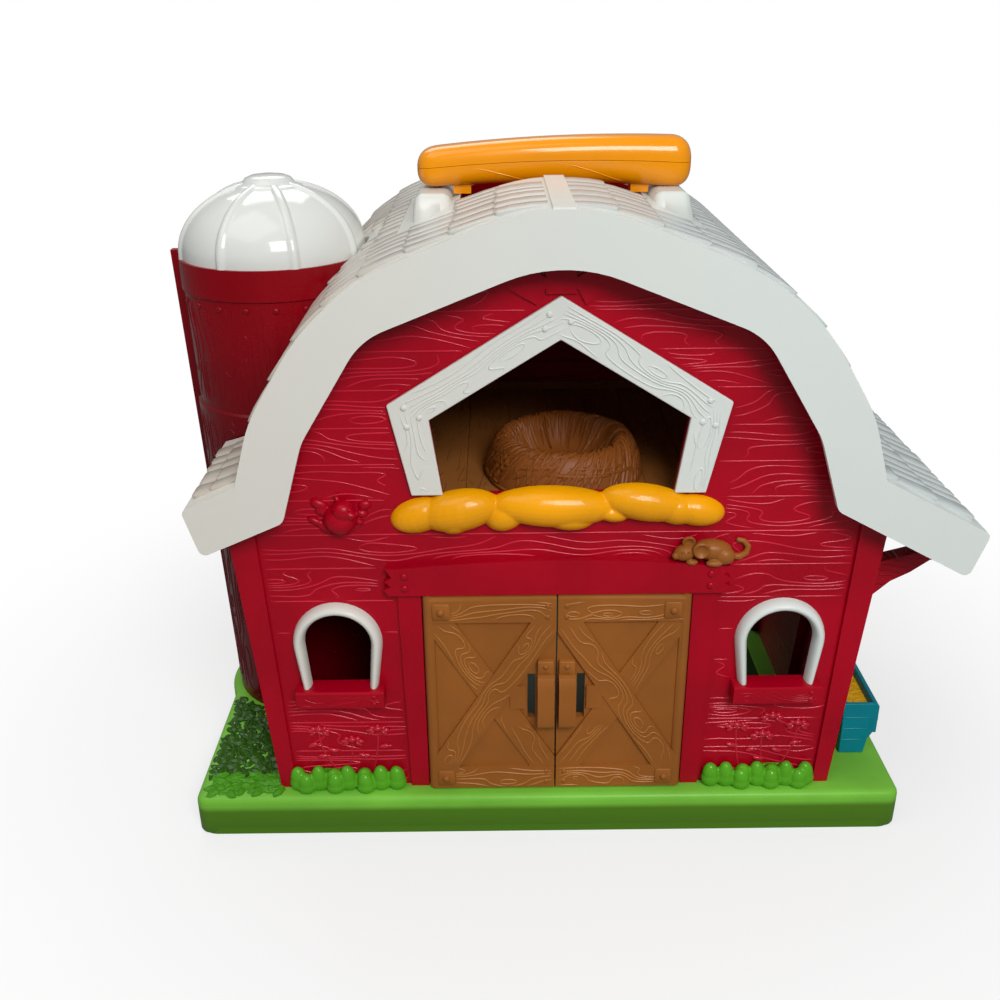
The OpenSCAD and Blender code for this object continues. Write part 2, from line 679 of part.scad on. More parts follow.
// Red tray that closes the finger hole from below
module finger_well() color("darkred") difference() {
    intersection() {
        slab(barn_x - well_half_x - well_t, barn_x + well_half_x + well_t, well_front - well_t,
            well_back + well_t, well_floor_z - well_t, 300);
        translate([barn_x, 0, 0])
            along_y(-60, 60)
                polygon(concat([[-100, 200]], [for (p = wall_room) if (abs(p[0]) < 100) p], [[100, 200]]));
    }
    slab(barn_x - well_half_x, barn_x + well_half_x, well_front, well_back, well_floor_z, 320);
}

// Handle: a bowed round-ended bar in two shells with a seam along its length
module handle_bar() {
    half = handle_len / 2;
    top = handle_z + handle_t;
    intersection() {
        translate([handle_x, 0, 0])
            along_y(-40, 40)
                polygon(soft_outline(concat([[-half, handle_z], [0, handle_z + handle_bow], [half, handle_z]],
                    [[half, top - 1], [0, top + handle_bow - 1], [-half, top - 1]]), 6));
        translate([handle_x, handle_y, handle_z - 5])
            linear_extrude(handle_t + 20)
                polygon(soft_outline([[-half, -handle_d / 2], [half, -handle_d / 2], [half, handle_d / 2],
                    [-half, handle_d / 2]], 8));
        translate([0, handle_y, 0])
            along_x(handle_x - half - 5, handle_x + half + 5)
                polygon(soft_outline([[-handle_d / 2, handle_z], [handle_d / 2, handle_z],
                    [handle_d / 2, top + handle_bow], [-handle_d / 2, top + handle_bow]], 7));
    }
}

handle_seam_z = handle_z + handle_t * 0.52;
handle_tab_w = 8;
handle_screw_z = handle_z - 2.6 - screw_head_h - seat_gap;

module handle_top() color("orange") difference() {
    handle_bar();
    slab(-100, 110, -60, 60, handle_z - 10, handle_seam_z);
    slab(handle_x - handle_len / 2 + 8, handle_x + handle_len / 2 - 8, handle_y - handle_d / 2 + 3,
        handle_y + handle_d / 2 - 3, handle_z, handle_seam_z + 5);
}

module handle_bottom() color("darkorange") difference() {
    union() {
        difference() {
            handle_bar();
            slab(-100, 110, -60, 60, handle_seam_z, handle_z + 60);
            slab(handle_x - handle_len / 2 + 8, handle_x + handle_len / 2 - 8, handle_y - handle_d / 2 + 3,
                handle_y + handle_d / 2 - 3, handle_z + handle_bow + 2.4, handle_seam_z + 5);
        }
        for (s = [-1, 1]) {
            post(handle_x + s * ear_x, handle_y, handle_z, handle_seam_z - 0.2, 4.5);
            translate([barn_x + s * (ear_x - ear_half_w - 0.3 - handle_tab_w / 2), 0, 0])
                slab(-handle_tab_w / 2, handle_tab_w / 2, handle_y - 5, handle_y + 5, handle_z - 2.6, handle_z + 3);
        }
    }
    for (s = [-1, 1])
        post(handle_x + s * ear_x, handle_y, handle_z - 1, handle_screw_z + screw_head_h + screw_bite + 0.4,
            screw_r);
}

// Loft floor with plank lines and a low lip along its back edge
module loft_floor() color("saddlebrown") difference() {
    half = wall_half(loft_z - 3) - wall_t - 0.4;
    front = -wall_front + wall_t + 0.2;
    union() {
        slab(barn_x - half, barn_x + half, front, loft_back, loft_z - 3, loft_z);
        slab(barn_x - half, barn_x + half, loft_back - 2.5, loft_back, loft_z - 3, loft_z + 4);
    }
    for (i = [-6:6])
        slab(barn_x + i * plank_pitch - 0.5, barn_x + i * plank_pitch + 0.5, front - 1, loft_back - 2.5,
            loft_z - 0.6, loft_z + 1);
    silo_room();
}

// Ring-shaped nest on the loft floor
module nest() color("peru") translate([barn_x + 4.5, -wall_front + 39, loft_z + seat_gap])
    rotate_extrude()
        polygon([[0, 0], [nest_r - 9, 0], [nest_r - 3, nest_h * 0.2], [nest_r, nest_h * 0.5],
            [nest_r - 2.5, nest_h * 0.8], [nest_r - 7.5, nest_h], [nest_r - 11, nest_h * 0.85],
            [nest_r - 14, nest_h * 0.5], [nest_r - 20, nest_h * 0.25], [0, nest_h * 0.18]]);

// White surround of the loft window
window_lift = 2.4;
module loft_window_frame() color("white") translate([barn_x, 0, 0])
    along_y(-wall_front - window_lift, -wall_front - 0.05)
        polygon(concat(loft_outer, backwards(loft_inner)));

// Straw roll along the foot of the loft window, flat where it lies on the wall and notched for the frame
module hay_roll() color("gold") difference() {
    union()
        for (lobe = [[-58.5, 12, 6.8, 162], [-42, 19, 9.8, 165.3], [-6, 27, 9.8, 166.4], [34, 20, 8.4, 166.7],
            [57.5, 12, 6.8, 163]])
            straw_lobe(barn_x + lobe[0], lobe[1], lobe[2], lobe[3]);
    slab(-90, 90, -wall_front - 0.1, -wall_front + 30, 150, 200);
    for (s = [-1, 1])
        slab(barn_x + s * 56 - 8.5, barn_x + s * 56 + 8.5, -wall_front - window_lift - 0.3, -wall_front,
            loft_outer[0][1] - 0.2, 200);
}

module straw_lobe(x, half, r, z) translate([x, -wall_front + 1, z])
    rotate([0, 90, 0])
        rotate_extrude($fn = 32)
            polygon([for (a = [-90:15:90]) [r * cos(a), half * sin(a)]]);

// Horseshoe window frame: a half-round bar led up one side, over the arch and down the other
leg_lean = 6;
leg_foot_w = 4.1;
window_bar_d = 5.6;
// Both window middles sit a little to the right of even spacing
window_shift = 1.1;
sill_half = 19.9;
sill_d = 8;
sill_h = 9.6;
leg_foot_x = window_r * cos(leg_lean) - (window_z - window_r * sin(leg_lean) - sill_z) * tan(leg_lean);
bar_way = concat([[-leg_foot_x, sill_z + seat_gap]],
    [for (k = [0:24]) let (a = 180 + leg_lean - k * (180 + 2 * leg_lean) / 24)
        [window_r * cos(a), window_z + window_r * sin(a)]],
    [[leg_foot_x, sill_z + seat_gap]]);
bar_face = [for (a = [0:15:180]) [cos(a) / 2, -sin(a) * window_bar_d]];
function bar_w(i) = i == 0 || i == len(bar_way) - 1 ? leg_foot_w : window_bar_w;
// Outward direction at point i of the bar's way, level at both feet
function bar_out(i) = i == 0 ? [-1 / cos(leg_lean), 0] : i == len(bar_way) - 1 ? [1 / cos(leg_lean), 0] :
    unit(left_of(unit(bar_way[i + 1] - bar_way[i - 1])));

module window_frame(s) {
    m = len(bar_face);
    n = len(bar_way);
    points = [for (i = [0:n - 1], p = bar_face)
        [bar_way[i][0] + bar_out(i)[0] * p[0] * bar_w(i), p[1],
            bar_way[i][1] + bar_out(i)[1] * p[0] * bar_w(i)]];
    sides = [for (i = [0:n - 2], k = [0:m - 1])
        [i * m + k, i * m + (k + 1) % m, (i + 1) * m + (k + 1) % m, (i + 1) * m + k]];
    ends = [[for (k = [m - 1:-1:0]) k], [for (k = [0:m - 1]) (n - 1) * m + k]];
    translate([barn_x + window_shift + s * window_x, -wall_front - 0.05, 0])
        polyhedron(points, concat(sides, ends));
}

module window_frame_left() color("white") window_frame(-1);
module window_frame_right() color("white") window_frame(1);

// Left door, drawn from the barn's middle; the right door is its mirror image
module door_leaf() {
    meet_x = -0.35;
    panel_z0 = door_z + 12;
    panel_z1 = door_top - 13;
    pull_z = (door_z + door_top) / 2 - 1;
    rail_r = 2;
    difference() {
        union() {
            slab(-pin_x, meet_x, leaf_front, door_back, door_z, door_top);
            post(-pin_x, pin_y, door_z, door_top, door_edge_r);
            along_x(-pin_x, meet_x)
                polygon([[leaf_front + bite, panel_z1], [door_front, panel_z1], [door_front, door_top - rail_r],
                    [door_front + rail_r * 0.3, door_top - rail_r * 0.3], [door_front + rail_r, door_top],
                    [door_front + rail_r + bite, door_top - rail_r]]);
            slab(-pin_x, meet_x, door_front, leaf_front + bite, door_z, panel_z0);
            door_brace([-pin_x + 4, panel_z1], [meet_x - 4, panel_z0], 1);
            door_brace([-pin_x + 4, panel_z0], [meet_x - 4, panel_z1], relief_t);
            door_pull(pull_z);
            slab(-21, -13.8, door_front, leaf_front + bite, pull_z - 6, pull_z + 6);
            for (z = [door_z + 8, (door_z + door_top) / 2, door_top - 8])
                slab(-pin_x + 8, meet_x - 2, door_back - bite, door_back + 1.6, z - 0.7, z + 0.7);
        }
        slab(-13, -9.4, pin_y - 10, pin_y + 10, pull_z - 12, pull_z + 12);
    }
    post(-pin_x, pin_y, door_z - pin_len, door_z + 1, pin_r);
    post(-pin_x, pin_y, door_top - 1, door_top + pin_len - 0.6, pin_r);
}

// Crossed board on a door, cut off at the rails
module door_brace(a, b, lift) {
    d = unit(b - a);
    n = left_of(d) * 6.2;
    intersection() {
        along_y(leaf_front - lift, leaf_front + bite)
            polygon([a - d * 12 - n, b + d * 12 - n, b + d * 12 + n, a - d * 12 + n]);
        slab(-pin_x, -0.35, door_front - 1, 0, door_z + 11.5, door_top - 12.5);
    }
}

// Grip that stands out from the meeting edge of a door
pull_reach = 7.6;
module door_pull(z) {
    reach = pull_reach - leaf_front;
    along_x(-8.6, -1)
        polygon([[leaf_front + bite, z - pull_h / 2], [-reach + 2.5, z - pull_h / 2], [-reach, z - pull_h / 2 + 3],
            [-reach, z + pull_h / 2 - 7], [-reach + 2.5, z + pull_h / 2 - 2], [leaf_front + bite, z + pull_h / 2]]);
}

module door_left() color("peru") translate([barn_x, 0, 0]) door_leaf();
module door_right() color("peru") translate([barn_x, 0, 0]) mirror([1, 0, 0]) door_leaf();

// Resting mouse above the right end of the cross board
module mouse() color("sandybrown") intersection() {
    union() {
        translate([barn_x + 62.1, -wall_front, lintel_z + 19.6])
            rotate([0, 90, 0])
                rotate_extrude($fn = 32)
                    polygon([for (a = [-90:15:90]) [4.6 * cos(a), 9.5 * sin(a)]]);
        translate([barn_x + 53, -wall_front, lintel_z + 18.7])
            sphere(r = 3.6, $fn = 32);
        translate([barn_x + 57, -wall_front, lintel_z + 21.2])
            rotate([90, 0, 0])
                cylinder(r = 3.4, h = 5.6, $fn = 32);
        translate([barn_x + 73.9, -wall_front, lintel_z + 19.9])
            rotate([90, 0, 0])
                rotate_extrude(angle = 250)
                    translate([4.8, 0])
                        circle(r = 1.5, $fn = 24);
    }
    slab(40, 100, -wall_front - 20, -wall_front - 0.05, 130, 170);
}

// Feed trough beside the right wall: slanted walls, a rim rail and feet
trough_x = base_x + base_w / 2 - 20.9;
trough_front = -80;
trough_flare = 4;
module trough_outline(inset) polygon([[trough_x + inset, base_h + (inset > 0 ? 12 : 0)],
    [trough_x + trough_foot_w - inset, base_h + (inset > 0 ? 12 : 0)],
    [trough_x + trough_foot_w + trough_flare - inset, base_h + trough_h + (inset > 0 ? 1 : 0)],
    [trough_x - 0.5 + inset, base_h + trough_h + (inset > 0 ? 1 : 0)]]);

module trough() color("teal") difference() {
    union() {
        along_y(trough_front, trough_front + trough_len)
            trough_outline(0);
        for (y = [trough_front, trough_front + trough_len - 4])
            slab(trough_x + trough_foot_w + 1, trough_x + trough_foot_w + trough_flare + 1, y, y + 4,
                base_h + 12, base_h + trough_h - 3);
        slab(trough_x + trough_foot_w + 1, trough_x + trough_foot_w + trough_flare + 1, trough_front,
            trough_front + trough_len, base_h + trough_h - 4.5, base_h + trough_h - 1.5);
    }
    along_y(trough_front + 2, trough_front + trough_len - 2)
        trough_outline(2);
    slab(trough_x - 2, trough_x + trough_foot_w + 2, trough_front + 8, trough_front + trough_len - 8, base_h - 1,
        base_h + 7);
}

module trough_feed() color("yellow") intersection() {
    along_y(trough_front + 2 + seat_gap, trough_front + trough_len - 2 - seat_gap)
        trough_outline(2 + seat_gap);
    slab(100, 200, -100, 100, base_h + 12 + seat_gap, base_h + trough_h - 3.2);
}

// Self-tapping screws: shank with a flat-bottomed head
module screw(x, y, z) translate([x, y, z]) {
    cylinder(r = screw_head_r, h = screw_head_h);
    cylinder(r = screw_r - 0.02, h = screw_head_h + screw_bite);
}

module base_screws() color("silver") {
    seat = screw_head_h + 3;
    for (p = corner_posts)
        screw(barn_x + p[0], p[1], seat + seat_gap);
    for (p = silo_posts)
        screw(p[0], p[1], seat + seat_gap);
}

module roof_screws() color("silver")
    for (p = roof_posts)
        screw(barn_x + p[0], p[1] - sign(p[1]), roof_lug_z - screw_head_h - seat_gap);

module handle_screws() color("silver")
    for (s = [-1, 1])
        screw(handle_x + s * ear_x, handle_y, handle_screw_z);

base();
hedge_left();
hedge_right();
front_shell();
back_shell();
silo_front();
silo_back();
silo_dome();
roof();
finger_well();
handle_top();
handle_bottom();
loft_floor();
nest();
loft_window_frame();
hay_roll();
window_frame_left();
window_frame_right();
door_left();
door_right();
mouse();
trough();
trough_feed();
base_screws();
roof_screws();
handle_screws();
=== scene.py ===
import json
import math
import random
import bpy
from mathutils import Matrix, Vector

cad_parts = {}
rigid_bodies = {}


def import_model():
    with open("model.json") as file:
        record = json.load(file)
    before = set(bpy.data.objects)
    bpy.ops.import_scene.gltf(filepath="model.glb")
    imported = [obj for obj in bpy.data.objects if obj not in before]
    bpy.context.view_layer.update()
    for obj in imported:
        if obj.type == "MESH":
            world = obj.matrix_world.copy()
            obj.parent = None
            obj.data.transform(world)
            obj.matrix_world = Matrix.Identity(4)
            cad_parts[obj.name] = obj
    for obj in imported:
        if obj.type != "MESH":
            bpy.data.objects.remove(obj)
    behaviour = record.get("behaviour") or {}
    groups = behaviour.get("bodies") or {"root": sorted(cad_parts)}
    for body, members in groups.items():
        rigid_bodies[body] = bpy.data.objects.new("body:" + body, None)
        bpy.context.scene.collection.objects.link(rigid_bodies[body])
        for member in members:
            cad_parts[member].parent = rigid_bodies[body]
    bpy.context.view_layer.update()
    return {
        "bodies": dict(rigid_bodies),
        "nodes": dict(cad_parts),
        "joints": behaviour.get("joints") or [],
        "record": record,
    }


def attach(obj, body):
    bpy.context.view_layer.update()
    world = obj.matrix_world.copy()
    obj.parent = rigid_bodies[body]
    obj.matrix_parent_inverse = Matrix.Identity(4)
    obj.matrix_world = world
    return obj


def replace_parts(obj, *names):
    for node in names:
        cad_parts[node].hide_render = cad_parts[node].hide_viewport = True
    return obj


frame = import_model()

mm = 0.001
barn = "barn"
nodes = frame["nodes"]


# a shader socket that takes part in sums
class Wire:
    def __init__(self, patch, socket):
        self.patch = patch
        self.socket = socket

    def math(self, operation, *others):
        return self.patch.add("ShaderNodeMath", {"operation": operation}, dict(enumerate((self, *others))))

    def __add__(self, other):
        return self.math("ADD", other)

    def __sub__(self, other):
        return self.math("SUBTRACT", other)

    def __rsub__(self, other):
        return self.patch.add("ShaderNodeMath", {"operation": "SUBTRACT"}, {0: other, 1: self})

    def __mul__(self, other):
        return self.math("MULTIPLY", other)

    def __truediv__(self, other):
        return self.math("DIVIDE", other)

    def __abs__(self):
        return self.math("ABSOLUTE")

    def __lt__(self, other):
        return self.math("LESS_THAN", other)

    def __gt__(self, other):
        return self.math("GREATER_THAN", other)

    __radd__ = __add__
    __rmul__ = __mul__

    def smooth(self, low, high):
        settings = {"interpolation_type": "SMOOTHSTEP"}
        return self.patch.add("ShaderNodeMapRange", settings, {0: self, 1: low, 2: high, 3: 0.0, 4: 1.0})


# the node tree of a material or a world
class Patch:
    def __init__(self, owner):
        self.owner = owner
        owner.use_nodes = True
        self.tree = owner.node_tree
        self.tree.nodes.clear()

    def add(self, kind, settings=None, sockets=None, out=0):
        node = self.tree.nodes.new(kind)
        for key, value in (settings or {}).items():
            setattr(node, key, value)
        for key, value in (sockets or {}).items():
            if isinstance(value, Wire):
                self.tree.links.new(value.socket, node.inputs[key])
            else:
                node.inputs[key].default_value = value
        return Wire(self, node.outputs[out]) if node.outputs else None

    def place(self):
        return self.add("ShaderNodeTexCoord", out=3)

    def axes(self):
        split = self.add("ShaderNodeSeparateXYZ", {}, {0: self.place()}).socket.node
        return [Wire(self, output) for output in split.outputs]

    # a place with its own scale along each axis
    def stretched(self, x, y, z):
        return self.add("ShaderNodeCombineXYZ", {}, {0: x, 1: y, 2: z})

    def noise(self, vector, scale, detail=2.0, rough=0.5):
        sockets = {"Vector": vector, "Scale": scale, "Detail": detail, "Roughness": rough}
        return self.add("ShaderNodeTexNoise", {}, sockets)

    def mix(self, factor, one, two):
        ends = [c if isinstance(c, Wire) else (*c, 1.0) for c in (one, two)]
        return self.add("ShaderNodeMix", {"data_type": "RGBA"}, {0: factor, 6: ends[0], 7: ends[1]}, out=2)

    def bump(self, height, distance, normal=None):
        sockets = {"Distance": distance, "Height": height}
        if normal is not None:
            sockets["Normal"] = normal
        return self.add("ShaderNodeBump", {}, sockets)

    # one shader for the camera, another for light that bounces
    def byRay(self, hidden, seen):
        ray = self.add("ShaderNodeLightPath").socket.node
        toCamera = Wire(self, ray.outputs["Is Camera Ray"])
        return self.add("ShaderNodeMixShader", {}, {0: toCamera, 1: hidden, 2: seen})


def srgb(red, green, blue):  # a colour as seen on screen, made linear
    return tuple(((c / 255 + 0.055) / 1.055) ** 2.4 if c > 10 else c / 255 / 12.92 for c in (red, green, blue))


# raised wood grain in the face of a plank: contour lines of a stretched noise
def grainLines(patch, vector, lines, width):
    field = patch.noise(vector, 1.0, 1.0, 0.4) * lines
    ring = abs(field.math("FRACT") - 0.5)
    keep = patch.noise(vector, 2.3, 0.0).smooth(0.42, 0.5)
    return (1 - ring.smooth(0.0, width)) * keep


# moulded plastic with fine mottling, scuffs and a soft sheen; the distance of its relief is in mm
def plastic(name, colour, roughness=0.3, height=None, distance=0.4, cloud=0.12, extra=None, coat=0.0):
    patch = Patch(bpy.data.materials.new(name))
    colour = srgb(*colour)
    spot = patch.place()
    cloudy = patch.noise(spot, 28.0, 3.0)
    speck = patch.noise(spot, 900.0, 2.0)
    dark = tuple(c * (1 - cloud) for c in colour)
    light = tuple(min(1.0, c * (1 + cloud * 0.5)) for c in colour)
    shade = patch.mix(cloudy.smooth(0.3, 0.72), dark, light)
    rough = roughness + (cloudy - 0.5) * 0.10 + (speck - 0.5) * 0.06
    normal = patch.bump(speck * 0.3 + patch.noise(spot, 120.0, 1.0), 0.05 * mm)
    if height is not None:
        relief, low = height(patch)
        # painted shade: where the relief gives a low mask, its colour darkens
        if low is not None:
            shade = patch.mix(low, shade, tuple(c * 0.45 for c in colour))
        normal = patch.bump(relief, distance * mm, normal)
    if extra is not None:
        shade = extra(patch, shade)
    shader = patch.add("ShaderNodeBsdfPrincipled", {}, {
        "Base Color": shade, "Roughness": rough, "Specular IOR Level": 0.2, "Normal": normal,
        "Coat Weight": coat, "Coat Roughness": 0.08})
    patch.add("ShaderNodeOutputMaterial", {}, {0: shader})
    return patch.owner


# planks for the walls that face sideways or back; the front face carries real threads instead
def wallRelief(patch):
    x, y, z = patch.axes()
    row = (z - 7.6 * mm) / (16.2 * mm)
    across = abs(row.math("FRACT") - 0.5) * 2
    behind = y > -98.6 * mm
    groove = across.smooth(0.93, 0.99) * behind
    along = patch.stretched(x / (46 * mm), y / (46 * mm), z / (8.5 * mm) + row.math("FLOOR") * 5.37)
    grain = grainLines(patch, along, 7.0, 0.10) * behind
    # the second value darkens the grooves' colour: painted shade
    return grain * 0.55 * (1 - groove) - groove, groove * 0.35


def floorRelief(patch):
    x, y, z = patch.axes()
    return grainLines(patch, patch.stretched(x / (7 * mm), y / (40 * mm), z / (40 * mm)), 6.0, 0.12) * 0.6, None


# fine lines that run down the slope of the roof
def shingleRelief(patch):
    x, y, z = patch.axes()
    return patch.noise(patch.stretched(x / (34 * mm), y / (1.3 * mm), z / (34 * mm)), 1.0, 2.0, 0.6), None


# soft bumps on leaves, and the grains of the feed
def leafRelief(patch):
    return patch.noise(patch.place(), 260.0, 3.0, 0.6), None


def feedRelief(patch):
    return patch.noise(patch.place(), 420.0, 2.0, 0.6), None


# painted light: a warm tint painted on the lamp's side, a cool one on the other
def paintedLampTint(warm, cool):
    def shift(patch, shade):
        return patch.mix(0.75, shade, patch.mix(patch.axes()[0].smooth(-0.16, 0.12), warm, cool))
    return shift


# the painted lamp tint above, and the strip over the ridge in a beige of its own
def trimLampTintAndRidge(patch, shade):
    shade = paintedLampTint(srgb(216, 211, 201), srgb(214, 222, 218))(patch, shade)
    x, _, z = patch.axes()
    return patch.mix((abs(x) < 0.0068) * (z > 0.2955), shade, srgb(220, 206, 182))


# painted shade: the silo's red darker low down
def siloPaintedShade(patch, shade):
    return patch.mix(patch.axes()[2].smooth(0.15, 0.26), srgb(96, 0, 10), shade)


# painted shade: dark sides, and a dark floor inside the walls
def paintedBaseShade(patch, shade):
    x, y, z = patch.axes()
    shade = patch.mix(z.smooth(0.0125, 0.0165), srgb(76, 120, 26), shade)
    inside = (abs(x) < 0.118) * (abs(y) < 0.0975)
    return patch.mix(inside * 0.9, shade, srgb(22, 44, 12))


# each finish: its colour on screen, and how it differs from plain plastic
finishRows = {
    "wallRed": ((166, 0, 28), {"height": wallRelief, "distance": 0.5}),
    "plainRed": ((166, 0, 28), {}),
    # the silo wears a darker copy of the wall's red as painted shade
    "siloShadedRed": ((136, 0, 16), {"roughness": 0.26, "extra": siloPaintedShade}),
    # painted highlight: the threads wear lighter copies of the wall's red and the doors' brown, so they show as lit
    # lines
    "threadHighlightRed": ((196, 30, 54), {"roughness": 0.24, "coat": 0.2}),
    "threadHighlightBrown": ((170, 110, 52), {}),
    # painted highlight: petals and stems in a lighter copy of the wall's red
    "flowerHighlightRed": ((186, 26, 48), {"roughness": 0.2, "coat": 0.3}),
    "trimWhite": ((216, 220, 214), {"roughness": 0.25, "cloud": 0.03, "extra": trimLampTintAndRidge}),
    "domeWhite": ((214, 216, 212), {"roughness": 0.14, "cloud": 0.03, "coat": 0.5}),
    "shingleWhite": ((196, 190, 180), {"roughness": 0.22, "height": shingleRelief, "distance": 0.5,
                                       "extra": paintedLampTint(srgb(190, 180, 166), srgb(194, 206, 208))}),
    "doorBrown": ((150, 90, 36), {"roughness": 0.36}),
    "floorBrown": ((158, 98, 46), {"roughness": 0.45, "height": floorRelief}),
    "nestBrown": ((134, 74, 28), {"roughness": 0.45, "height": floorRelief, "distance": 0.3}),
    "handleOrange": ((238, 148, 2), {"roughness": 0.24, "cloud": 0.04, "coat": 0.5}),
    "hayYellow": ((238, 160, 2), {"roughness": 0.28, "coat": 0.2}),
    "baseGreen": ((116, 186, 60), {"roughness": 0.34, "extra": paintedBaseShade}),
    # painted shade: the leaves beside the barn in a darker green
    "leafPaintedShade": ((44, 84, 18), {"roughness": 0.26, "height": leafRelief, "coat": 0.3}),
    "feedYellow": ((226, 170, 20), {"roughness": 0.35, "height": feedRelief, "distance": 1.2}),
    "leafGreen": ((74, 146, 28), {"roughness": 0.34, "height": leafRelief}),
    "hedgeGreen": ((84, 162, 30), {"roughness": 0.26, "coat": 0.15}),
    "troughTeal": ((2, 126, 142), {}),
    "screwSteel": ((150, 150, 152), {"roughness": 0.35}),
}
finishes = {name: plastic(name, colour, **row) for name, (colour, row) in finishRows.items()}
# which CAD nodes wear each finish
wornBy = {
    "baseGreen": ("base",), "hedgeGreen": ("hedge_left", "hedge_right"), "wallRed": ("front_shell", "back_shell"),
    "siloShadedRed": ("silo_front", "silo_back"), "domeWhite": ("silo_dome",), "plainRed": ("finger_well",),
    "trimWhite": ("roof", "loft_window_frame", "window_frame_left", "window_frame_right"),
    "handleOrange": ("handle_top", "handle_bottom"), "floorBrown": ("loft_floor",), "nestBrown": ("nest",),
    "hayYellow": ("hay_roll",), "doorBrown": ("door_left", "door_right", "mouse"), "troughTeal": ("trough",),
    "feedYellow": ("trough_feed",), "screwSteel": ("base_screws", "roof_screws", "handle_screws"),
}
worn = {name: finish for finish, names in wornBy.items() for name in names}
for name, finish in worn.items():
    nodes[name].data.materials.clear()
    nodes[name].data.materials.append(finishes[finish])
print("materials on the CAD nodes")


def deselect():
    if bpy.context.mode != "OBJECT":
        bpy.ops.object.mode_set(mode="OBJECT")
    bpy.ops.object.select_all(action="DESELECT")


def pick(piece):
    deselect()
    piece.select_set(True)
    bpy.context.view_layer.objects.active = piece


# runs steps on the whole mesh of a piece in edit mode
def edit(piece, *steps):
    pick(piece)
    bpy.ops.object.mode_set(mode="EDIT")
    bpy.ops.mesh.select_all(action="SELECT")
    for step in steps:
        step()
    bpy.ops.object.mode_set(mode="OBJECT")


# joins points nearer than a distance in mm
def merge(distance):
    return lambda: bpy.ops.mesh.remove_doubles(threshold=distance * mm)


def outward():
    bpy.ops.mesh.normals_make_consistent(inside=False)


# points round a circle of radius 1
def circle(count):
    return [(math.cos(2 * math.pi * k / count), math.sin(2 * math.pi * k / count)) for k in range(count)]


# the four corners of a rounded rectangle: signs of each corner, and the directions from its centre
def corners(steps):
    turns = [(cx, cy, math.radians(start + 90 * k / steps))
             for cx, cy, start in ((1, 1, 0), (-1, 1, 90), (-1, -1, 180), (1, -1, 270)) for k in range(steps + 1)]
    return [(cx, cy, math.cos(a), math.sin(a)) for cx, cy, a in turns]


# faces that join rings of points into a tube, then its first cap and its last
def tube(rings, count, first=0):
    last = first + (rings - 1) * count
    sides = [(a + k, a + (k + 1) % count, a + count + (k + 1) % count, a + count + k)
             for a in range(first, last, count) for k in range(count)]
    return sides + [tuple(range(first + count - 1, first - 1, -1)), tuple(range(last, last + count))]


# faces from a ring to the point at its tip
def fan(first, count, tip):
    return [(first + k, first + (k + 1) % count, tip) for k in range(count)]


# a mesh built from points in millimetres, with its finish and body
def build(name, points, faces, finish, body=barn, angle=40):
    mesh = bpy.data.meshes.new(name)
    mesh.from_pydata([Vector(p) * mm for p in points], [], faces)
    mesh.update()
    piece = bpy.data.objects.new(name, mesh)
    bpy.context.scene.collection.objects.link(piece)
    return dress(piece, finish, body, angle)


def dress(piece, finish, body=barn, angle=40):
    edit(piece, outward)
    bpy.ops.object.shade_smooth_by_angle(angle=math.radians(angle))
    piece.data.materials.clear()
    piece.data.materials.append(finishes[finish])
    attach(piece, body)
    return piece


def apply(piece, kind, **settings):
    modifier = piece.modifiers.new(kind, kind)
    for key, value in settings.items():
        setattr(modifier, key, value)
    pick(piece)
    bpy.ops.object.modifier_apply(modifier=modifier.name)


# a CAD part with its sharp edges rounded, which stands in for its node
def softCopy(node, name, radius, body=barn):
    source = nodes[node]
    piece = bpy.data.objects.new(name, source.data.copy())
    piece.matrix_world = source.matrix_world
    bpy.context.scene.collection.objects.link(piece)
    pick(piece)
    bpy.ops.object.transform_apply(location=True, rotation=True, scale=True)
    edit(piece, merge(0.004), lambda: bpy.ops.mesh.dissolve_limited(angle_limit=math.radians(0.4)))
    if radius:
        apply(piece, "BEVEL", width=radius * mm, segments=2, limit_method="ANGLE", angle_limit=math.radians(40),
              use_clamp_overlap=True)
    dress(piece, worn[node], body)
    if radius:
        apply(piece, "WEIGHTED_NORMAL", keep_sharp=True, weight=100)
    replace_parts(piece, node)


# contour lines of a wavy field with long swellings: the grain of a plank of the given length and width
def grainOf(length, width, seed, spacing=3.6, waves=0.9, eye=(55, 9, 20), along=2.0, across=0.7):
    dice = random.Random(seed)
    apart, short, long = eye
    spots = [(apart * (k + dice.uniform(0.2, 0.8)), dice.uniform(0.15, 0.85) * width, dice.uniform(short, long),
              dice.uniform(2.2, 4.2), dice.choice((-1, 1)) * dice.uniform(1.3, 2.9))
             for k in range(max(1, round(length / apart)))]
    phases = [dice.uniform(0, 6.28) for _ in range(3)]

    def field(u, v):
        value = v / spacing + waves * 0.5 * math.sin(u / 17 + phases[0])
        value += waves * 0.3 * math.sin(u / 7.3 + phases[1] + v / 6)
        for cu, cv, lu, lv, peak in spots:
            value += peak * math.exp(-((u - cu) / lu) ** 2 - ((v - cv) / lv) ** 2)
        return value

    columns = max(2, round(length / along))
    rows = max(2, round(width / across))
    us = [length * i / columns for i in range(columns + 1)]
    vs = [width * j / rows for j in range(rows + 1)]
    grid = [[field(u, v) for v in vs] for u in us]
    low = min(min(line) for line in grid)
    high = max(max(line) for line in grid)
    strokes = []
    for level in [k + 0.5 for k in range(math.floor(low) - 1, math.ceil(high) + 1)]:
        strokes += contour(grid, us, vs, level)
    return strokes


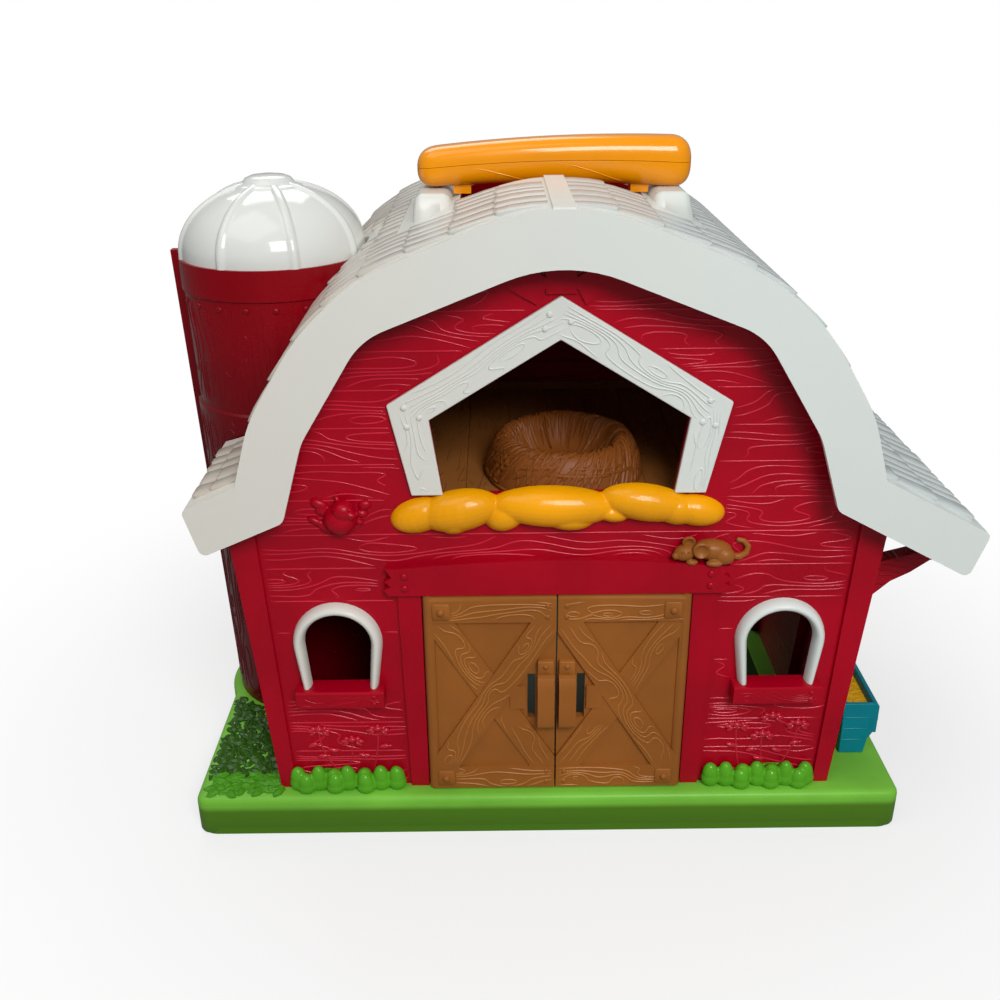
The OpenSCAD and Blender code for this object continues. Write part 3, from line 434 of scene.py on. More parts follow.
# marching squares: the lines where the grid crosses a level, chained end to end
def contour(grid, us, vs, level):
    points = {}
    joins = {}

    def cross(a, b):
        key = (a, b)
        if key not in points:
            fa = grid[a[0]][a[1]] - level
            fb = grid[b[0]][b[1]] - level
            t = fa / (fa - fb)
            points[key] = (us[a[0]] + t * (us[b[0]] - us[a[0]]), vs[a[1]] + t * (vs[b[1]] - vs[a[1]]))
        return key

    for i in range(len(us) - 1):
        for j in range(len(vs) - 1):
            corners = ((i, j), (i + 1, j), (i + 1, j + 1), (i, j + 1))
            above = [grid[a][b] > level for a, b in corners]
            if all(above) or not any(above):
                continue
            hits = []
            for k in range(4):
                a, b = corners[k], corners[(k + 1) % 4]
                if above[k] != above[(k + 1) % 4]:
                    hits.append(cross(min(a, b), max(a, b)))
            for one, two in zip(hits[0::2], hits[1::2]):
                joins.setdefault(one, []).append(two)
                joins.setdefault(two, []).append(one)
    lines = []
    unused = set(joins)
    starts = [key for key in joins if len(joins[key]) == 1] + list(joins)
    for start in starts:
        if start not in unused:
            continue
        chain = [start]
        unused.discard(start)
        while True:
            ahead = [key for key in joins[chain[-1]] if key in unused]
            if not ahead:
                break
            chain.append(ahead[0])
            unused.discard(ahead[0])
        if len(chain) > 3:
            if len(joins[start]) > 1:
                chain.append(start)
            lines.append([points[key] for key in chain])
    return lines


# strokes cut to where a test allows them, with short ones left out
def clipped(strokes, allowed, shortest=5.0):
    kept = []
    for stroke in strokes:
        run = []
        for point in stroke + [None]:
            if point is not None and allowed(*point):
                run.append(point)
                continue
            length = sum(math.dist(a, b) for a, b in zip(run, run[1:]))
            if len(run) > 2 and length > shortest:
                kept.append(run)
            run = []
    return kept


# raised threads along strokes; lift maps (u, v, height) to a place in millimetres
def threads(name, strokes, lift, finish, body=barn, half=0.42, rise=0.38, root=-0.12):
    points = []
    faces = []
    for stroke in strokes:
        total = sum(math.dist(a, b) for a, b in zip(stroke, stroke[1:]))
        if total < 1.2:
            continue
        passed = 0
        first = len(points)
        for i, p in enumerate(stroke):
            before = stroke[max(0, i - 1)]
            after = stroke[min(len(stroke) - 1, i + 1)]
            if i:
                passed += math.dist(before, p)
            run = math.dist(before, after) or 1
            n = (-(after[1] - before[1]) / run, (after[0] - before[0]) / run)
            taper = 0.25 + 0.75 * min(1, min(passed, total - passed) / 3.0)
            for side, height in ((-1, root), (-0.45, rise * 0.86 * taper), (0.45, rise * 0.86 * taper), (1, root)):
                w = half * taper * side
                points.append(lift(p[0] + n[0] * w, p[1] + n[1] * w, height))
        faces += tube(len(stroke), 4, first)
    return build(name, points, faces, finish, body, 75)


# domed nail heads, each a low cap on its own little foot
def nails(name, places, lift, radius, finish, body=barn, height=0.55):
    points = []
    faces = []
    count = 12
    profile = ((1.0, -0.4), (1.0, 0.2), (0.86, 0.62), (0.5, 0.92))
    for u, v in places:
        first = len(points)
        for scale, up in profile:
            points += [lift(u + radius * scale * c, v + radius * scale * w, radius * height * up)
                       for c, w in circle(count)]
        points.append(lift(u, v, radius * height))
        faces += tube(len(profile), count, first)[:-1] + fan(len(points) - 1 - count, count, len(points) - 1)
    return build(name, points, faces, finish, body, 50)


# plan of the barn in millimetres, as the CAD has it
plan = {"wall": -99.5, "lintel": -103.8, "rail": -104.4, "leaf": -102.8, "loftFrame": -101.9, "sill": -107.5,
        "halfFoot": 130.2, "lean": math.tan(math.radians(4.7)), "baseTop": 20.5, "doorHalf": 59.1,
        "lintelFoot": 125.5, "windows": (-97.9, 100.1), "windowZ": 100.4, "sillZ": 78.1, "silo": -130,
        "loftZ": 165.5}


def wallHalf(z):
    return plan["halfFoot"] + (z - plan["baseTop"]) * plan["lean"]


def onPlane(y):
    return lambda u, v, h: (u, y - h, v)


# the roof's outside line, rounded as in the CAD
roofLine = {"corners": [(-155.3, 172.5), (-132.2, 182.6), (-124, 210.3), (-92.35, 261.1), (0, 297.8),
                        (92.35, 261.1), (124, 210.3), (132.2, 182.6), (178.9, 157.9)],
            "radii": [0, 2, 70, 100, 80, 100, 70, 2, 0]}


def roundedLine(corners, radii, step=3.0):
    line = [Vector(corners[0])]
    for before, here, after, r in zip(corners, corners[1:], corners[2:], radii[1:]):
        before, here, after = Vector(before), Vector(here), Vector(after)
        d = (here - before).normalized()
        e = (after - here).normalized()
        turn = d.x * e.y - d.y * e.x
        bend = math.acos(max(-1, min(1, d.dot(e))))
        side = 1 if turn > 0 else -1
        start = here - d * r * math.tan(bend / 2)
        centre = start + Vector((-d.y, d.x)) * r * side
        steps = max(2, math.ceil(math.degrees(bend) / step))
        for k in range(steps + 1):
            a = side * bend * k / steps
            arm = start - centre
            c, w = math.cos(a), math.sin(a)
            line.append(centre + Vector((arm.x * c - arm.y * w, arm.x * w + arm.y * c)))
    line.append(Vector(corners[-1]))
    return line


roofPath = roundedLine(roofLine["corners"], roofLine["radii"])
middle = min(range(len(roofPath)), key=lambda i: abs(roofPath[i].x))
roofSides = {-1: roofPath[middle::-1], 1: roofPath[middle:]}


# place on the roof: s mm down the slope from the ridge on one side, y along the ridge, h above the skin
def onRoof(side, s, y, h):
    line = roofSides[side]
    for a, b in zip(line, line[1:]):
        run = (b - a).length
        if s <= run or b is line[-1]:
            d = (b - a) / run
            n = Vector((-d.y, d.x)) * side
            spot = a + d * s + n * h
            return (spot.x, y, spot.y)
        s -= run


# soft copies of the mouldings: how far each one's edges are rounded, in mm
softParts = {"base": 0.3, "roof": 0.9, "front_shell": 0.5, "back_shell": 0.5, "silo_front": 0.3, "silo_back": 0.3,
             "loft_window_frame": 0.6, "trough": 0.5, "finger_well": 0.3, "loft_floor": 0.2,
             "window_frame_left": 0, "window_frame_right": 0}
for node, radius in softParts.items():
    softCopy(node, node.replace("_", " ").title().replace(" ", "") + "Body", radius)
softCopy("door_left", "doorLeftBody", 0.5, "left_door")
softCopy("door_right", "doorRightBody", 0.5, "right_door")
print("mouldings with soft edges")


# raised grain and joint lines on the front wall, clear of what stands on it
wallFacts = {"pitch": 16.2, "first": 7.6, "rows": 17, "seed": 11, "cornerBoard": 7.6, "postReach": 71.6,
             "lintelHalf": 76.4, "lintelTop": 139.2, "sillHalf": 21.2, "frameHalf": 20.8, "frameR": 20.9, "trim": 12}


def wallIsOpen(u, v):
    facts = wallFacts
    out = abs(u)
    if v < 22 or out > wallHalf(v) - facts["cornerBoard"] - 5 * (v - 20.5) / 142.5:
        return False
    if v > 168 and not underTrim(u, v, facts["trim"]):
        return False
    if out < facts["postReach"] and v < plan["lintelFoot"] + 2:
        return out > plan["doorHalf"] + 9.9 + 2.1 * (v - 20.5) / 104
    if out < facts["lintelHalf"] and plan["lintelFoot"] - 1 < v < facts["lintelTop"] + 3.2 * (1 - (u / 76) ** 2):
        return False
    for x in plan["windows"]:
        sill = abs(u - x) < facts["sillHalf"] and 68 < v < plan["sillZ"] + 1
        frame = abs(u - x) < facts["frameHalf"] and plan["sillZ"] <= v < plan["windowZ"]
        if sill or frame or math.dist((u, v), (x, plan["windowZ"])) < facts["frameR"]:
            return False
    loft = 171 < v < 213.4 and out < 62.5 + (v - 172.4) * 0.215 or v >= 213 and out < (257.5 - v) * 1.597
    gable = v > 252 and abs(v - 257.6 - (out - 7) * 0.561) < 6.7 or v > 256.5 and out < 6.8
    hay = 154 < v < 178 and out < 71
    return not (loft or gable or hay)


# the wall below the roof's line
def underTrim(u, v, trim):
    for a, b in zip(roofPath, roofPath[1:]):
        if a.x <= u <= b.x and b.x > a.x:
            return v < a.y + (b.y - a.y) * (u - a.x) / (b.x - a.x) - trim
    return False


def makeWallThreads(facts):
    strokes = []
    pitch = facts["pitch"]
    for row in range(1, facts["rows"] + 1):
        low = facts["first"] + pitch * row
        half = min(wallHalf(low), 150)
        strokes += clipped([[(u, low) for u in range(-int(half), int(half), 3)]], wallIsOpen)
        grain = grainOf(2 * half, pitch - 2.4, facts["seed"] + row, 4.5, 1.3, (46, 11, 26))
        strokes += clipped([[(u - half, low + 1.2 + v) for u, v in line] for line in grain], wallIsOpen, 13.0)
    threads("wallThreads", strokes, onPlane(plan["wall"]), "threadHighlightRed", half=0.4, rise=0.42)


makeWallThreads(wallFacts)
print("threads on the front wall")


# planks, grain and nails round the silo; angles round it are counted in mm along a circle of radius r
siloFacts = {"pitch": 13.0, "seed": 31, "nailZ": 236.5, "r": 42.0, "tubes": ((26, 183), (190, 238)), "flange": 0.09}


def siloRadius(z):
    if z < 186:
        return 39.8 + (43.2 - 39.8) * (z - 20.5) / 165.5
    return 42.0 + (43.3 - 42.0) * (z - 187) / 53.2


def onSilo(u, v, h):
    angle = u / siloFacts["r"]
    r = siloRadius(v) + h
    return (plan["silo"] + r * math.sin(angle), -r * math.cos(angle), v)


def makeSiloThreads(facts):
    around = 2 * math.pi * facts["r"]
    planks = round(around / facts["pitch"])
    pitch = around / planks
    strokes = []
    marks = []
    for k in range(planks):
        u0 = (k + 0.5) * pitch
        angle = u0 / facts["r"]
        # the planks inside the barn are left out
        if 0.1 < ((angle + math.pi) % (2 * math.pi)) / math.pi < 0.92 and math.sin(angle) > 0.86:
            continue
        for z0, z1 in facts["tubes"]:
            strokes.append([(u0 - pitch / 2, z0 + (z1 - z0) * i / 40) for i in range(41)])
            grain = grainOf(z1 - z0, pitch - 2.6, facts["seed"] + 2 * k + (z0 > 100), 5.5, 1.0, (40, 8, 16))
            strokes += clipped([[(u0 - pitch / 2 + 1.3 + v, z0 + u) for u, v in line] for line in grain],
                               lambda u, v: True, 12.0)
        marks.append((u0, facts["nailZ"]))

    def offFlange(u, v):
        turn = (u / facts["r"] + math.pi * 1.5) % (2 * math.pi)
        return abs(turn - math.pi) > facts["flange"]

    threads("siloThreads", clipped(strokes, offFlange), onSilo, "siloShadedRed", half=0.4, rise=0.3)
    nails("siloNails", marks, onSilo, 1.5, "siloShadedRed")


makeSiloThreads(siloFacts)
print("threads and nails on the silo")


# shingles: thin wedges with round butts that follow the roof's curve
shingleFacts = {"first": 4.6, "steps": (18.2, 18.6), "pitch": 19.2, "reach": 107, "thin": 0.35, "thick": 1.5,
                "seed": 5, "widths": (8, 15), "joint": 0.35, "lap": 1.0, "siloClear": 46.5}


# clear of the finger hole, the handle's ears and the silo
def shingleSpot(side, s, y):
    x = onRoof(side, s, y, 0)[0]
    hole = -32.5 < y < 25.5 and abs(x) < 42.5
    ear = -51.5 < y < 40.5 and 43 < abs(x) < 63
    return not (hole or ear) and math.dist((x, y), (plan["silo"], 0)) > shingleFacts["siloClear"]


def makeShingles(facts):
    dice = random.Random(facts["seed"])
    points = []
    faces = []
    reach = facts["reach"]
    for side in (-1, 1):
        line = roofSides[side]
        end = sum((b - a).length for a, b in zip(line, line[1:])) - 4.0
        s0 = facts["first"]
        course = 0
        while s0 < end - 6:
            s1 = min(s0 + (facts["steps"][course] if course < 2 else facts["pitch"]), end)
            y = -reach
            while y < reach - 3:
                w = min(dice.uniform(*facts["widths"]), reach - y)
                if reach - y - w < 5:
                    w = reach - y
                long = s1 + dice.uniform(-0.4, 1.4)
                half = (s0 + s1) / 2
                for start, stop in ((s0, long), (s0, half), (half, long)):
                    spots = [(start + (stop - start) * t, y + w * q) for t in (0, 0.5, 1) for q in (0, 0.5, 1)]
                    if all(shingleSpot(side, s, q) for s, q in spots):
                        ends = (start - facts["lap"], stop, y + facts["joint"], y + w - facts["joint"])
                        addShingle(points, faces, side, *ends, facts)
                        break
                y += w
            s0 = s1
            course += 1
    build("roofShingles", points, faces, "shingleWhite", angle=45)


def addShingle(points, faces, side, s0, s1, y0, y1, facts):
    faces += tube(6, 6, len(points))
    rows = [s0, s0 + (s1 - s0) * 0.33, s0 + (s1 - s0) * 0.66, s1 - 1.6, s1 - 0.5, s1]
    for s, inset in zip(rows, (0, 0, 0, 0, 0.5, 1.6)):
        h = facts["thin"] + (facts["thick"] - facts["thin"]) * (s - s0) / (s1 - s0)
        near, far = y0 + inset, y1 - inset
        section = ((near, -0.15), (near, h - 0.25), (near + 0.35, h), (far - 0.35, h), (far, h - 0.25), (far, -0.15))
        points += [onRoof(side, s, y, up) for y, up in section]


makeShingles(shingleFacts)
print("shingles")


# grain and nails on the doors' boards, given as on the left door and mirrored for the right one
doorFacts = {"rails": ((21.5, 33.5), (111.9, 122.9)), "railEnds": (-56, -1.8), "seed": 60, "boardW": 12.4,
             "boardX": (-52.4, -4.4), "boardZ": (33.5, 111.9), "heads": (25.0, 30.6, 114.6, 120.2),
             "plateX": 51.0, "boltX": 51.2, "plateZ": (27.4, 117.6), "plateUp": 0.7, "pullX": 4.8, "pullUp": 3.2}


def boardStrokes(a, b, width, seed, spacing=3.1, eye=(21, 5, 10)):
    a, b = Vector(a), Vector(b)
    d = (b - a).normalized()
    n = Vector((-d.y, d.x))
    grain = grainOf((b - a).length, width - 1.6, seed, spacing, 1.0, eye, 1.2, 0.5)
    return [[tuple(a + d * u + n * (v - (width - 1.6) / 2)) for u, v in line] for line in grain]


def plateFree(u, v):
    return u >= -48.6 or 31.2 <= v <= 113.8


def insideDoor(u, v):
    return 34.2 < v < 111.2 and -55 < u < -1.4


# beside the upper cross board, and off the pull
def besideBoard(u, v):
    d = Vector((48.0, 78.4)).normalized()
    off = abs((u + 52.4) * d.y - (v - 33.5) * d.x)
    pull = -24 < u < 0 and 57 < v < 89
    return insideDoor(u, v) and off > 7.2 and not pull


def makeDoorThreads(facts):
    x0, x1 = facts["boardX"]
    z0, z1 = facts["boardZ"]
    for side, body, name in ((-1, "left_door", "Left"), (1, "right_door", "Right")):
        seed = facts["seed"] + side
        rails = []
        for k, (low, high) in enumerate(facts["rails"]):
            ends = [(x, (low + high) / 2) for x in facts["railEnds"]]
            rails += boardStrokes(*ends, high - low, seed + k, 2.7)
        over = boardStrokes((x0, z0), (x1, z1), facts["boardW"], seed + 7)
        under = boardStrokes((x0, z1), (x1, z0), facts["boardW"], seed + 9)
        for kind, strokes, allowed, front, rise in (
                ("Rail", rails, plateFree, plan["rail"], 0.42), ("Board", over, insideDoor, plan["leaf"] - 1.6, 0.44),
                ("Under", under, besideBoard, plan["leaf"] - 1.0, 0.44)):
            strokes = [[(-side * u, v) for u, v in line] for line in clipped(strokes, allowed, 4.0)]
            threads(f"door{kind}Threads{name}", strokes, onPlane(front), "threadHighlightBrown", body, 0.38, rise)
        heads = [(side * 4.2, z) for z in facts["heads"]]
        nails("doorNails" + name, heads, onPlane(plan["rail"]), 1.25, "doorBrown", body)
        makePlates(facts, name, side, body)


# hinge plates and a pull plate, with their bolts
def makePlates(facts, name, side, body):
    points = []
    faces = []
    plateX, pullX = side * facts["plateX"], side * facts["pullX"]
    for z in facts["plateZ"]:
        addPlate(points, faces, plateX, z, 4.0, 4.1, plan["rail"], facts["plateUp"], 1.2)
    addPlate(points, faces, pullX, 88.0, 3.7, 4.2, plan["leaf"], facts["pullUp"], 0.8)
    build("doorPlates" + name, points, faces, "doorBrown", body, 50)
    bolts = [(side * facts["boltX"], z) for z in facts["plateZ"]]
    nails("doorBolts" + name, bolts, onPlane(plan["rail"] - facts["plateUp"]), 1.7, "doorBrown", body, 0.8)
    nails("pullBolts" + name, [(pullX, 89.7)], onPlane(plan["leaf"] - facts["pullUp"]), 1.3, "doorBrown", body, 0.7)


# a low plate with round corners and a bevelled face, standing on the plane y = front
def addPlate(points, faces, x, z, halfX, halfZ, front, lift, radius, bevel=0.3):
    rim = [(cx * (halfX - radius) + radius * c, cz * (halfZ - radius) + radius * w) for cx, cz, c, w in corners(4)]
    faces += tube(3, len(rim), len(points))
    for scale, y in ((1, front + bevel), (1, front - lift + bevel), (1 - bevel / halfZ, front - lift)):
        points += [(x + u * scale, y, z + v * scale) for u, v in rim]


makeDoorThreads(doorFacts)
print("grain, plates and nails on the doors")


# grain and nails on the white loft frame, the lintel and the sills
boardFacts = {"seed": 90, "legs": ((-55.6, 174, -61.8, 209.5), (55.6, 174, 61.8, 209.5)), "legW": 12.0,
              "slopes": ((-61.9, 209.2, 0, 248.2), (0, 248.2, 61.9, 209.2)), "slopeW": 14.2,
              "heads": [(-4.6, 249.4), (-6.4, 243.6), (-63.4, 211.4), (-57.2, 207.2), (-62.4, 203.2), (58.3, 204.0),
                        (63.6, 202.6), (60.8, 213.2), (3.8, 246.4)],
              "lintelX": 66.5, "lintelZ": (129.2, 134.9), "sillHalf": 19, "sillLow": 8.4, "sillHigh": 1.2}


def onFrame(u, v):
    outside = abs(u) < 61.0 + (v - 172.4) * 0.215 and (v < 212 or abs(u) < (255.3 - v) * 1.597)
    inner = abs(u) < 49.6 + (v - 172.4) * 0.144 and v < 206 or v < 240 - abs(u) * 0.622 and abs(u) < 54.4
    return outside and not inner and v > 173


def makeFrameThreads(facts):
    strokes = []
    for k, (x0, z0, x1, z1) in enumerate(facts["legs"]):
        leg = boardStrokes((x0, z0), (x1, z1), facts["legW"], facts["seed"] + k, 2.9, (17, 6, 10))
        strokes += clipped(leg, onFrame, 4.0)
    for k, (x0, z0, x1, z1) in enumerate(facts["slopes"]):
        slope = boardStrokes((x0, z0), (x1, z1), facts["slopeW"], facts["seed"] + 4 + k, 2.7, (17, 6, 11))
        strokes += clipped(slope, onFrame, 4.0)
    threads("loftFrameThreads", strokes, onPlane(plan["loftFrame"]), "trimWhite", half=0.4, rise=0.4)
    nails("loftFrameNails", facts["heads"], onPlane(plan["loftFrame"]), 1.3, "trimWhite")


def makeLintelThreads(facts):
    heads = [(s * facts["lintelX"], z) for s in (-1, 1) for z in facts["lintelZ"]]
    nails("lintelNails", heads, onPlane(plan["lintel"]), 1.7, "plainRed")
    half = facts["sillHalf"]
    low, high = plan["sillZ"] - facts["sillLow"], plan["sillZ"] - facts["sillHigh"]
    z = (low + high) / 2
    for k, x in enumerate(plan["windows"]):
        grain = boardStrokes((x - half, z), (x + half, z), high - low, facts["seed"] + 30 + k, 2.6)
        grain = clipped(grain, lambda u, v: abs(u - x) < half - 0.4 and low + 0.4 < v < high, 4.0)
        threads("sillThreads" + "LR"[k], grain, onPlane(plan["sill"] + 0.25), "plainRed", half=0.34, rise=0.3)
        heads = [(x + 15.4, low + 1.8), (x + 15.4, high - 1.6)]
        nails("sillNails" + "LR"[k], heads, onPlane(plan["sill"] + 0.1), 1.2, "plainRed")


makeFrameThreads(boardFacts)
makeLintelThreads(boardFacts)
print("grain and nails on the boards")


# soft lumps fused into one moulding, cut flat where they lie on the wall; each lump is given by its place
# from the origin, its three radii, and its turns about Y and X in degrees
def fused(name, lumps, voxel, finish, origin=(0, 0, 0), wall=None, rounds=4):
    pieces = []
    for lump in lumps:
        turns = [math.radians(turn) for turn in (*lump[6:], 0, 0)]
        deselect()
        bpy.ops.mesh.primitive_uv_sphere_add(segments=24, ring_count=14, radius=1, rotation=(turns[1], turns[0], 0),
                                             location=[(o + c) * mm for o, c in zip(origin, lump)])
        bpy.context.object.scale = [r * mm for r in lump[3:6]]
        pieces.append(bpy.context.object)
    deselect()
    for lump in pieces:
        lump.select_set(True)
    bpy.context.view_layer.objects.active = pieces[0]
    bpy.ops.object.join()
    piece = bpy.context.object
    piece.name = name
    bpy.ops.object.transform_apply(location=True, rotation=True, scale=True)
    if voxel:
        apply(piece, "REMESH", mode="VOXEL", voxel_size=voxel * mm)
        apply(piece, "SMOOTH", factor=0.5, iterations=rounds)
    if wall is not None:
        plane = {"plane_co": (0, wall * mm, 0), "plane_no": (0, 1, 0)}
        edit(piece, lambda: bpy.ops.mesh.bisect(**plane, use_fill=True, clear_outer=True))
    return dress(piece, finish, angle=60)


# bird on the wall: a plump body with its head turned, lobed wings and feet
birdFacts = {
    "x": -92.5, "z": 161.6, "voxel": 0.4,
    "lumps": [(0, -1.5, 0, 7.2, 6.4, 7.0), (1.8, -4.0, 5.4, 4.8, 4.6, 4.4), (5.2, -6.2, 4.2, 2.6, 2.0, 1.5, 10),
              (5.0, -5.6, 2.6, 2.0, 1.6, 1.0, 25), (-0.6, -1.8, 9.4, 1.2, 1.4, 2.0, -20),
              (-8.6, 0, 6.6, 4.4, 2.2, 2.4, 25), (-7.0, 0, 3.4, 4.0, 2.0, 2.2, 5),
              (-10.4, 0, -1.4, 4.4, 2.0, 1.8, 28), (-6.6, 0, -3.8, 4.2, 2.2, 2.6, 30),
              (10.4, 0, 6.0, 3.2, 2.2, 2.4, -20), (9.0, 0, 2.2, 3.0, 2.2, 1.9, 10),
              (7.6, 0, -1.6, 2.6, 2.0, 1.6, 20)],
    "eyes": [(4.8, -7.4, 7.0, 0.7, 0.6, 0.7), (2.4, -8.0, 6.6, 0.7, 0.6, 0.7)]}


def makeBird(facts):
    origin = (facts["x"], plan["wall"], facts["z"])
    fused("birdRelief", facts["lumps"], facts["voxel"], "plainRed", origin, plan["wall"] + 0.2)
    fused("birdEyes", facts["eyes"], 0, "plainRed", origin)


# mouse lying on the cross board: body, haunch, head with nose ball, dished ears, curled tail
mouseFacts = {
    "voxel": 0.3,
    "lumps": [(66.6, -1.4, 145.4, 8.6, 4.8, 4.7, 4), (71.6, -3.4, 143.2, 4.6, 3.6, 4.0),
              (54.6, -2.6, 144.8, 5.0, 4.0, 3.6, -18), (50.6, -4.0, 143.7, 1.7, 1.6, 1.6),
              (67.2, -5.2, 140.6, 3.8, 2.0, 1.5), (57.6, -4.2, 140.8, 2.6, 1.8, 1.4)],
    "tail": [(75.5, 142.0), (78.6, 141.6), (81.4, 143.6), (82.0, 146.6), (80.0, 149.2), (77.6, 149.8)],
    "tailBeads": 25, "tailR": (1.5, 1.1), "ears": ((61.0, 147.2, 6.2, 3.9), (56.0, 149.4, 2.8, 3.0)),
    "earProfile": [(0.0, 0.3), (0.45, 0.2), (0.62, -0.5), (0.8, -0.95), (0.95, -0.6), (1.0, 0.0), (0.85, 0.9),
                   (0.4, 1.4)],
    "eyes": [(53.2, -6.0, 146.4, 0.65, 0.5, 0.65), (55.6, -6.1, 146.5, 0.65, 0.5, 0.65)]}


def makeMouse(facts):
    origin = (0, plan["wall"], 0)
    lumps = list(facts["lumps"])
    tail = facts["tail"]
    thick, thin = facts["tailR"]
    for k in range(facts["tailBeads"] + 1):
        share = k / facts["tailBeads"]
        t = share * (len(tail) - 1)
        i = min(int(t), len(tail) - 2)
        a, b = tail[i], tail[i + 1]
        r = thick + (thin - thick) * share
        lumps.append((a[0] + (b[0] - a[0]) * (t - i), -1.1, a[1] + (b[1] - a[1]) * (t - i), r, r, r))
    mouse = fused("mouseBody", lumps, facts["voxel"], "doorBrown", origin, plan["wall"] + 0.02)
    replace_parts(mouse, "mouse")
    for k, (x, z, out, r) in enumerate(facts["ears"]):
        makeEar("mouseEar" + "AB"[k], x, z, plan["wall"] - out, r, facts["earProfile"])
    fused("mouseEyes", facts["eyes"], 0, "doorBrown", origin)


# a round ear with a rolled rim and a dish in its middle, which closes in a point
def makeEar(name, x, z, y, r, profile):
    count = 24
    points = [(x + r * radius * c, y + depth, z + r * radius * w) for radius, depth in profile
              for c, w in circle(count)]
    faces = tube(len(profile), count)
    faces.pop(-2)
    edit(build(name, points, faces, "doorBrown", angle=60), merge(0.001), outward)


makeBird(birdFacts)
makeMouse(mouseFacts)
print("bird and mouse")


# drooping daisies with stems and leaves, low on the wall
flowerFacts = {
    "heads": [(-110.3, 52.5), (-95.2, 46.5), (-82.9, 52.7), (85.0, 52.7), (97.2, 47.4), (113.2, 53.4),
              (101.0, 57.6)],
    "feet": [-102.0, -98.2, -86.4, 88.0, 99.0, 106.0], "footZ": 27.0, "petals": 7,
    "leaves": [(-113.7, 43.8, -20), (-104.4, 40.8, 15), (-109.5, 37.4, -5), (-90.3, 37.6, 20), (-80.2, 42.8, -8),
               (83.0, 41.5, 12), (92.5, 38.6, -14), (104.6, 38.2, 18), (112.6, 42.4, -16), (96.4, 33.6, 10)]}


def makeFlowers(facts):
    lumps = []
    for x, z in facts["heads"]:
        for j in range(facts["petals"]):
            a = math.radians(-35 + 250 * j / (facts["petals"] - 1))
            dx, dz = math.cos(a), math.sin(a) * 0.62 - 0.25
            long = 3.1 if dz < 0.2 else 2.2
            lumps.append((x + dx * 3.8, -0.35, z + dz * 3.4, long * 0.66, 1.15, 1.05,
                          -math.degrees(math.atan2(dz, dx))))
        lumps.append((x, -0.5, z + 0.4, 2.0, 1.5, 1.4))
    for x, z, tilt in facts["leaves"]:
        lumps += [(x, -0.3, z, 2.6, 1.2, 1.2, tilt), (x + 1.9, -0.2, z + 0.1, 2.0, 0.8, 0.55, tilt)]
    fused("flowerRelief", lumps, 0, "flowerHighlightRed", (0, plan["wall"], 0))
    stems = []
    steps = [t / 14 for t in range(15)]
    for (x, z), foot in zip(facts["heads"], facts["feet"]):
        bend = (x - foot) * 0.175
        top = z - 1.5
        stems.append([(x + (foot - x) * t ** 1.3 + bend * math.sin(math.pi * t), top + (facts["footZ"] - top) * t)
                      for t in steps])
    threads("flowerStems", stems, onPlane(plan["wall"]), "flowerHighlightRed", half=0.5, rise=0.6)


makeFlowers(flowerFacts)
print("flowers")


# egg-shaped bushes in a row on each side of the doors: each one's place along the row, whether it stands
# in the back row, and how tall it is
bushFacts = {"left": (-124.6, -71.0), "right": (122.0, 70.4), "seed": 3, "voxel": 0.4,
             "eggs": ((0.06, 1, 1.0), (0.13, 0, 0.8), (0.24, 1, 1.08), (0.385, 0, 0.84), (0.37, 1, 0.8),
                      (0.5, 1, 1.08), (0.655, 0, 0.86), (0.64, 1, 0.84), (0.79, 1, 1.05), (0.93, 1, 0.98))}


def makeBushes(facts):
    for side in ("left", "right"):
        x0, x1 = facts[side]
        dice = random.Random(facts["seed"])
        lumps = []
        for share, back, tall in facts["eggs"]:
            x = x0 + (x1 - x0) * share
            y = plan["wall"] - (2.6 if back else 4.6)
            lean = dice.uniform(-9, 9)
            foot = plan["baseTop"] + (5.2 if back else 4.0)
            lumps.append((x, y, foot + 0.6, 3.9, 3.4, 6.6 * tall, lean, 3))
            lumps.append((x, y, foot - 1.6, 4.4, 3.7, 4.6 * tall, lean))
        piece = fused(side + "Bushes", lumps, facts["voxel"], "hedgeGreen", wall=plan["wall"] - 0.02, rounds=8)
        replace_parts(piece, "hedge_" + side)


makeBushes(bushFacts)


# leafy ground left of the barn: many small leaves that overlap, a clump in front and a strip behind it in a darker
# green, painted shade from the barn
leafFacts = {"seed": 8, "siloClear": 44, "missed": 0.02,
             "beds": (("leafClump", "leafGreen", 130, (-164, -131), (-106, -92), (2.6, 4.0)),
                      ("leafyGround", "leafPaintedShade", 900, (-166, -131.5), (-93, 102), (2.0, 3.6)))}


# a spot too near the silo counts for little, so that the draws come to an end
def makeLeaves(facts):
    dice = random.Random(facts["seed"])
    placed = 0
    for name, finish, until, xs, ys, sizes in facts["beds"]:
        points, faces = [], []
        while placed < until:
            x, y = dice.uniform(*xs), dice.uniform(*ys)
            if math.dist((x, y), (plan["silo"], 0)) < facts["siloClear"]:
                placed += facts["missed"]
                continue
            addLeaf(points, faces, x, y, dice.uniform(*sizes), dice)
            placed += 1
        build(name, points, faces, finish, angle=30)


